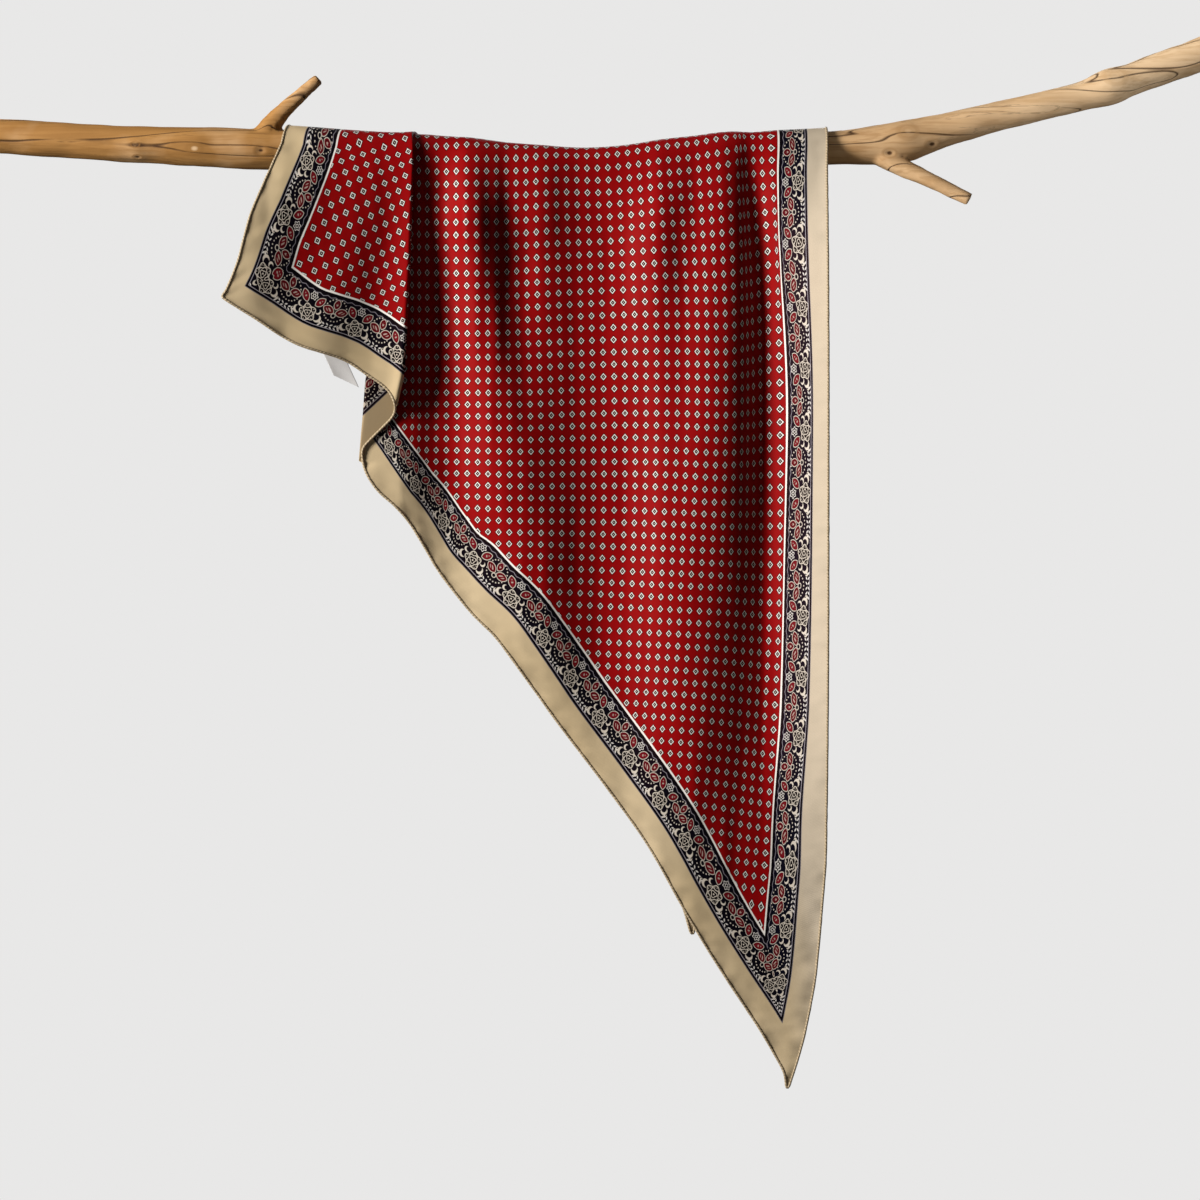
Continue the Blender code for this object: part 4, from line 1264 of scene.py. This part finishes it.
def driftwood():
    """Weathered wood: golden at the left and paler at the right, with long grain, thin cracks along it
    and small knots. The paler right is partly the wood's own tone and partly painted light."""
    material, tree, shader = new_material("Driftwood", 0.75, 0.2)
    place = tree.nodes.new("ShaderNodeTexCoord").outputs["Object"]
    stretch = tree.nodes.new("ShaderNodeMapping")
    stretch.inputs["Scale"].default_value = (5.0, 90.0, 90.0)
    tree.links.new(place, stretch.inputs["Vector"])
    long_way = stretch.outputs[0]
    x, y, z = split(tree, place, 1 / MM, 1 / MM, 1 / MM)
    blotch = noise_field(tree, place, 14.0, 4.0)
    streak = noise_field(tree, long_way, 1.0, 6.0)
    fibre = noise_field(tree, long_way, 4.0, 4.0)
    crack = noise_field(tree, long_way, 0.5, 1.0)
    light, tan, brown = (0.38, 0.19, 0.055), (0.27, 0.125, 0.030), (0.045, 0.017, 0.005)
    pale, pale_tan = (0.84, 0.60, 0.36), (0.60, 0.38, 0.19)
    # Painted light: toward the right end the wood is made paler, partly its own tone and partly to stand
    # in for the weaker light that reaches it there
    right = x.above(300.0, 240.0)
    light = paint(tree, light, pale, right)
    tan = paint(tree, tan, pale_tan, right)
    crevice = crack.within(0.5, 0.006, 0.010) * blotch.above(0.40, 0.12)
    fine = streak.within(0.43, 0.004, 0.010) * blotch.below(0.50, 0.1) * 0.6
    colour = coats(
        tree, light,
        (tan, streak.above(0.52, 0.3) * 0.8),
        (pale, blotch.above(0.60, 0.2) * 0.35),
        (tan, fibre.above(0.56, 0.14) * 0.5),
        (brown, crevice.high(fine) * 0.9),
    )
    height = fibre * 0.4 + streak * 0.8 - crevice * 1.2
    for knot_x, knot_y, knot_z, size, dark in KNOTS[1:]:
        away = hypot(hypot((x - knot_x) * 0.7, y - knot_y), z - knot_z) + (streak - 0.5) * size
        rings = (away * (5.5 / size)).math("SINE").above(0.2, 0.9)
        colour = coats(
            tree, colour,
            (tan, rings * away.below(size * 1.6, size * 1.2) * 0.7),
            (pale, away.below(size * 0.7, size * 0.3) * (0.6 - 0.6 * dark)),
            (brown, away.below(size * 0.55, size * 0.3) * dark),
        )
    tree.links.new(colour, shader.inputs["Base Color"])
    bump(tree, shader, height, 0.5, 0.0012)
    return material


# ---------------------------------------------------------------- pieces


def sweep(points, radii, sides):
    """Rings of a round tube along points, with caps and a run-round UV."""
    points = np.asarray(points, float)
    forward = np.gradient(points, axis=0)
    forward /= np.linalg.norm(forward, axis=1)[:, None]
    normal = np.cross(forward[0], (0.0, 1.0, 0.3))
    run = lengths(points)
    verts, faces, flats = [], [], []
    for k, (centre, way) in enumerate(zip(points, forward)):
        normal = normal - way * np.dot(normal, way)
        normal /= np.linalg.norm(normal)
        other = np.cross(way, normal)
        for s in range(sides):
            turn = 2 * math.pi * s / sides
            out = normal * math.cos(turn) + other * math.sin(turn)
            verts.append(centre + out * radii[k])
    count = len(points)
    for k in range(count - 1):
        for s in range(sides):
            after = (s + 1) % sides
            faces.append((
                k * sides + s, k * sides + after,
                (k + 1) * sides + after, (k + 1) * sides + s,
            ))
            low, high = s / sides, (s + 1) / sides
            flats += [(run[k], low), (run[k], high), (run[k + 1], high), (run[k + 1], low)]
    faces.append(tuple(reversed(range(sides))))
    faces.append(tuple(range((count - 1) * sides, count * sides)))
    flats += [(0.0, 0.0)] * (2 * sides)
    return verts, faces, flats


def joined(tubes):
    """The vertices, faces and flat places of several tubes as one."""
    verts, faces, flats = [], [], []
    for more, sides, places in tubes:
        faces += [tuple(len(verts) + i for i in side) for side in sides]
        verts += more
        flats += places
    return verts, faces, flats


def mesh_of(name, verts, faces, flats):
    """A smooth mesh with the flat place of each face's corners."""
    mesh = new_mesh(name, verts, faces)
    layer = mesh.uv_layers.new(name="flat cloth")
    layer.data.foreach_set("uv", np.asarray(flats, float).ravel())
    mesh.shade_smooth()
    return mesh


def resampled(points, step):
    """The same line with points evenly about step apart."""
    points = np.asarray(points, float)
    run = lengths(points)
    marks = spaced(0.0, run[-1], step)
    return np.stack([np.interp(marks, run, points[:, i]) for i in range(3)], axis=1)


def outward(edge, inside):
    """Unit vectors out of the cloth at its edge."""
    along = np.gradient(edge, axis=0)
    along /= np.maximum(np.linalg.norm(along, axis=1), 1e-9)[:, None]
    out = edge - inside
    out -= along * np.sum(out * along, axis=1)[:, None]
    return out / np.maximum(np.linalg.norm(out, axis=1), 1e-9)[:, None]


def blur(values, passes):
    values = np.array(values, float)
    for _ in range(passes):
        values[1:-1] = (values[:-2] + 2 * values[1:-1] + values[2:]) / 4
    return values


def hem_line(rows, last):
    """Centre line of the rolled hem beside one end of each row."""
    pick, beside = (-1, -2) if last else (0, 1)
    edge, inside = (np.array([points[k] for _, points, _ in rows]) for k in (pick, beside))
    return edge + blur(outward(edge, inside), 3) * HEM_RADIUS * HEM_OUTSET * MM


def add_hem(name, line, facing, hem_material, thread_material, *nodes):
    """A rolled hem along a line, and the slanting stitches that hold it."""
    line = blur(resampled(line, HEM_STEP * MM), 2)
    swell = [
        HEM_RADIUS * MM * (1 + HEM_SWELL * noise.noise(Vector((k * 0.31, facing, 4.0))))
        for k in range(len(line))
    ]
    hem = add_piece(name, mesh_of(name, *sweep(line, swell, HEM_SIDES)), hem_material)
    over = name + "_stitches"
    stitches = add_piece(over, stitch_mesh(over, line, facing), thread_material)
    claim(hem, "beige_hem", *nodes)
    claim(stitches, "beige_hem")
    return [hem, stitches]


# Stitches of the hem
STITCH_EVERY = 3.2
STITCH_LENGTH = 2.1
STITCH_RADIUS = 0.11
STITCH_ALONG, STITCH_ACROSS = 0.65, 0.76


def stitch_mesh(name, line, facing):
    """Short slanting threads over the side of the hem that faces out."""
    marks = resampled(line, STITCH_EVERY * MM)
    along = np.gradient(marks, axis=0)
    along /= np.linalg.norm(along, axis=1)[:, None]
    front = np.array((0.0, facing, 0.0))
    tubes = []
    for centre, way in zip(marks[1:-1], along[1:-1]):
        over = front - way * np.dot(front, way)
        over /= np.linalg.norm(over)
        across = np.cross(way, over)
        slant = way * STITCH_ALONG + across * STITCH_ACROSS
        arc = []
        for share in (-1.0, -0.55, 0.0, 0.55, 1.0):
            rise = math.sqrt(max(0.0, 1 - (share * 0.86) ** 2))
            lift = over * (HEM_RADIUS + STITCH_RADIUS * 0.4) * rise * MM
            arc.append(centre + slant * share * STITCH_LENGTH / 2 * MM + lift)
        tubes.append(sweep(arc, [STITCH_RADIUS * MM] * 5, 5))
    return mesh_of(name, *joined(tubes))


def label_mesh():
    """The bare label, slightly curved, tucked under the hem of the flap."""
    corners = [np.array((x, z)) for x, z in LABEL_CORNERS[1:]]
    down = corners[3] - corners[0]
    tuck = down / np.linalg.norm(down) * LABEL_TUCK
    start = corners[0] - tuck
    down = down + tuck
    across = corners[1] - corners[0]
    low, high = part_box("care_label")
    depth = (low.y + high.y) / 2
    columns, rows = 24, 26
    verts, faces, flats = [], [], []
    for j in range(rows + 1):
        for i in range(columns + 1):
            s, t = i / columns, j / rows
            x, z = start + across * s + down * t
            curl = LABEL_BOW * math.sin(s * math.pi) * t - LABEL_LIFT * t * t
            verts.append((x * MM, depth + curl * MM * 0.8, z * MM))
    for j in range(rows):
        for i in range(columns):
            a = j * (columns + 1) + i
            faces.append((a, a + columns + 1, a + columns + 2, a + 1))
            for s, t in ((i, j), (i, j + 1), (i + 1, j + 1), (i + 1, j)):
                flats.append((s / columns * LABEL_WIDTH * MM, t / rows * LABEL_LENGTH * MM))
    return mesh_of("label", verts, faces, flats)


def limb(table, step):
    """Centres and radii of a limb, in metres."""
    xs = spaced(column(table, "x")[0], column(table, "x")[-1], step)
    points = np.stack([xs] + [read(table, "x", name, xs) for name in ("y", "z")], axis=1)
    return points * MM, read(table, "x", "radius", xs) * MM


BRANCH_VOXEL = 1.6
END_SPARE = 1.0


def branch_mesh():
    """The branch and its twigs as round tubes in one mesh."""
    low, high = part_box("branch")
    tubes = []
    for table, step, sides in ((BRANCH, 4.0, 40), (UPPER_TWIG, 3.0, 28), (LOWER_TWIG, 3.0, 28)):
        points, radii = limb(table, step)
        if table is BRANCH:
            kept = (points[:, 0] > low.x + END_SPARE * MM) & (points[:, 0] < high.x - END_SPARE * MM)
            points, radii = points[kept], radii[kept]
        tubes.append(sweep(points, radii, sides))
    verts, faces, _ = joined(tubes)
    return new_mesh("branch", verts, faces)


# Ridges, swellings and fibres of the weathered wood: how deep, how long and
# how wide they are, and where their noise starts
GRAIN = (
    ("depth", "long", "wide", "start"),
    (0.42, 60, 4.5, (0, 0, 0)),
    (0.7, 26, 16, (9, 2, 5)),
    (0.16, 14, 1.9, (3, 8, 1)),
)
# The stretch that lies under the cloth, and x beyond which the ends are sawn
COVERED_FROM, COVERED_TO, COVERED_BELOW = -225.0, 222.0, 36.0
COVERED_SHARE, COVERED_MOST = 0.4, 0.3
SAWN_LEFT, SAWN_RIGHT, SAWN_SHARE = -440.0, 510.0, 0.15
# How high a knot swells and how deep its middle is, and how wide both are
SWELL, SWELL_WIDTH, DENT, DENT_WIDTH = 0.8, 2.2, 1.6, 0.7


def weather(mesh):
    """Uneven the wood: long ridges, swellings, and dents at the knots."""
    mesh.update()
    co, normals = (np.empty(len(mesh.vertices) * 3) for _ in range(2))
    mesh.vertices.foreach_get("co", co)
    mesh.vertices.foreach_get("normal", normals)
    co, normals = co.reshape(-1, 3), normals.reshape(-1, 3)
    shift = np.array([
        sum(
            depth * noise.noise(Vector((x / length, y / width, z / width)) + Vector(start))
            for depth, length, width, start in GRAIN[1:]
        )
        for x, y, z in co / MM
    ])
    x, z = co[:, 0] / MM, co[:, 2] / MM
    covered = (x > COVERED_FROM) & (x < COVERED_TO) & (z < COVERED_BELOW)
    shift = np.where(covered, np.minimum(shift * COVERED_SHARE, COVERED_MOST), shift)
    for knot_x, knot_y, knot_z, size, dark in KNOTS[1:]:
        away = (co / MM - (knot_x, knot_y, knot_z)) * (0.7, 1.0, 1.0)
        away = np.linalg.norm(away, axis=1) / size
        swell = SWELL * np.exp(-(away / SWELL_WIDTH) ** 2)
        shift += swell - DENT * dark * np.exp(-(away / DENT_WIDTH) ** 2)
    shift[(np.abs(normals[:, 0]) > 0.95) & ((x < SAWN_LEFT) | (x > SAWN_RIGHT))] *= SAWN_SHARE
    co += normals * (shift * MM)[:, None]
    mesh.vertices.foreach_set("co", co.ravel())
    mesh.update()


def add_branch():
    obj = add_piece("branch_wood", branch_mesh(), driftwood())
    remesh = obj.modifiers.new("One skin", "REMESH")
    remesh.mode = "VOXEL"
    remesh.voxel_size = BRANCH_VOXEL * MM
    remesh.use_smooth_shade = True
    smooth = obj.modifiers.new("Soft roots", "SMOOTH")
    smooth.iterations = 3
    applied(obj)
    weather(obj.data)
    claim(obj, "driftwood", "branch")


def add_thickness(obj, thickness):
    """Thicken the piece evenly to both sides, by a modifier."""
    shell = obj.modifiers.new("Shell", "SOLIDIFY")
    shell.thickness = thickness * MM
    shell.offset = 0.0
    return shell


def add_cloth(name, stretches, flip, materials, *nodes):
    """A thin shell of printed cloth: its face, its underside and its rim."""
    obj = add_piece(name, cloth_mesh(name, stretches, flip), *materials)
    shell = add_thickness(obj, SHELL)
    shell.material_offset = 1
    shell.material_offset_rim = 0
    applied(obj)
    obj.data.set_sharp_from_angle(angle=math.radians(RIM_ANGLE))
    claim(obj, "red_satin", *nodes)
    return obj


def add_label():
    label = add_piece("label", label_mesh(), label_tape())
    add_thickness(label, LABEL_THICKNESS)
    applied(label)
    claim(label, "label_tape", "care_label")


def build():
    satins = satin("Printed satin"), satin("Underside of the satin", UNDERSIDE_SHADE)
    hem_materials = hem_satin(), thread()

    panel, strip, flap = stretches = front_rows()
    front = add_cloth(
        "scarf_front", stretches, True, satins, "front_panel", "turned_underside", "corner_flap",
    )
    back = back_rows(*crest_row(stretches))
    rear = add_cloth("scarf_back", [back], False, satins, "back_panel")

    # The front hem runs down the long edge and up the leg, the strip and the flap
    leg = [row for row in panel if row[0] > FOLD_END + LEG_HEM_SKIPS]
    turned_up = [row for row in strip if STRIP_HEM < row[0] < FOLD_END - STRIP_HEM_SKIPS]
    edges = (hem_line(rows[::-1], True) for rows in (leg, turned_up, flap))
    front_hem = add_hem(
        "hem_front", np.vstack([hem_line(panel, False), *edges]), -1.0, *hem_materials,
        "hem_front_long_edge", "hem_front_leg", "hem_underside", "hem_flap_lower", "hem_flap_side",
    )
    back_hem = add_hem(
        "hem_back", np.vstack([hem_line(back, False), hem_line(back[::-1], True)]), 1.0,
        *hem_materials, "hem_back_long_edge", "hem_back_leg",
    )
    add_label()
    add_branch()


# ----------------------------------------------------------------- studio


def add_light(name, kind, place, target, power, **settings):
    light = bpy.data.lights.new(name, kind)
    light.energy = power
    for setting, value in settings.items():
        setattr(light, setting, value)
    obj = add_object(name, light)
    obj.location = place
    way = Vector(target) - obj.location
    obj.rotation_euler = way.to_track_quat("-Z", "Y").to_euler()


def add_panel(name, place, target, size, power, colour=(1.0, 1.0, 1.0)):
    """A soft rectangular light."""
    width, height = size
    add_light(
        name, "AREA", place, target, power, shape="RECTANGLE", size=width, size_y=height,
        color=colour,
    )


FLOOR_HEIGHT, FLOOR_RADIUS = -1.42, 2.6
PHOTO_WIDTH = 0.942
CAMERA_DISTANCE = 2.2
CLOTH_FRONT = 0.016
SENSOR = 36.0
PHOTO_MIDDLE = 0.0314


def add_floor():
    bpy.ops.mesh.primitive_circle_add(vertices=96, radius=FLOOR_RADIUS, fill_type="NGON")
    floor = bpy.context.object
    floor.name = "floor"
    floor.location = (0.0, 0.0, FLOOR_HEIGHT)
    material, tree, shader = new_material("Pale floor", 0.9)
    tone = noise_field(tree, None, 3.0)
    pale = paint(tree, (0.68, 0.67, 0.66), (0.72, 0.71, 0.70), tone)
    seen = tree.nodes.new("ShaderNodeLightPath").outputs["Is Camera Ray"]
    pale = paint(tree, (0.16, 0.16, 0.16), pale, Field(tree, seen))
    tree.links.new(pale, shader.inputs["Base Color"])
    floor.data.materials.append(material)


def add_lights():
    middle = (0.03, 0.0, -0.30)
    add_panel("window", (-2.47, -1.28, 0.45), middle, (0.8, 1.3), 165.0, (1.0, 0.985, 0.97))
    add_panel("room", (1.6, -2.7, 0.4), middle, (2.2, 2.2), 1.2, (0.96, 0.98, 1.0))
    add_panel("behind", (0.6, 2.6, 0.9), middle, (2.0, 2.0), 45.0, (0.98, 0.99, 1.0))
    add_panel("ceiling", (0.0, 0.0, 2.1), (0.0, 0.0, -1.0), (0.8, 0.8), 4.0)
    add_light(
        "right branch", "SPOT", (1.2, -1.9, -0.4), (0.43, 0.0, 0.05), 70.0,
        spot_size=math.radians(13), spot_blend=0.8, shadow_soft_size=0.2,
    )
    world = bpy.data.worlds.new("Pale room")
    bpy.context.scene.world = world
    world.use_nodes = True
    tree = world.node_tree
    room = tree.nodes["Background"]
    room.inputs["Color"].default_value = (0.93, 0.925, 0.92, 1.0)
    seen = Field(tree, tree.nodes.new("ShaderNodeLightPath").outputs["Is Camera Ray"])
    tree.links.new((seen * 0.85 + 0.02).socket, room.inputs["Strength"])
    bpy.context.scene.view_settings.view_transform = "Standard"


def add_camera():
    """The camera at the photo's angle, level with the middle of the photo."""
    lens = bpy.data.cameras.new("camera")
    lens.sensor_width = SENSOR
    lens.lens = SENSOR * (CAMERA_DISTANCE - CLOTH_FRONT) / PHOTO_WIDTH
    camera = add_object("camera", lens)
    camera.location = (PHOTO_MIDDLE, -CAMERA_DISTANCE, -VIEW_DROP * MM)
    camera.rotation_euler = (math.pi / 2, 0.0, 0.0)
    bpy.context.scene.camera = camera


build()
add_floor()
add_lights()
add_camera()


def corners(box):
    return [[float(x) for x in corner] for corner in box]
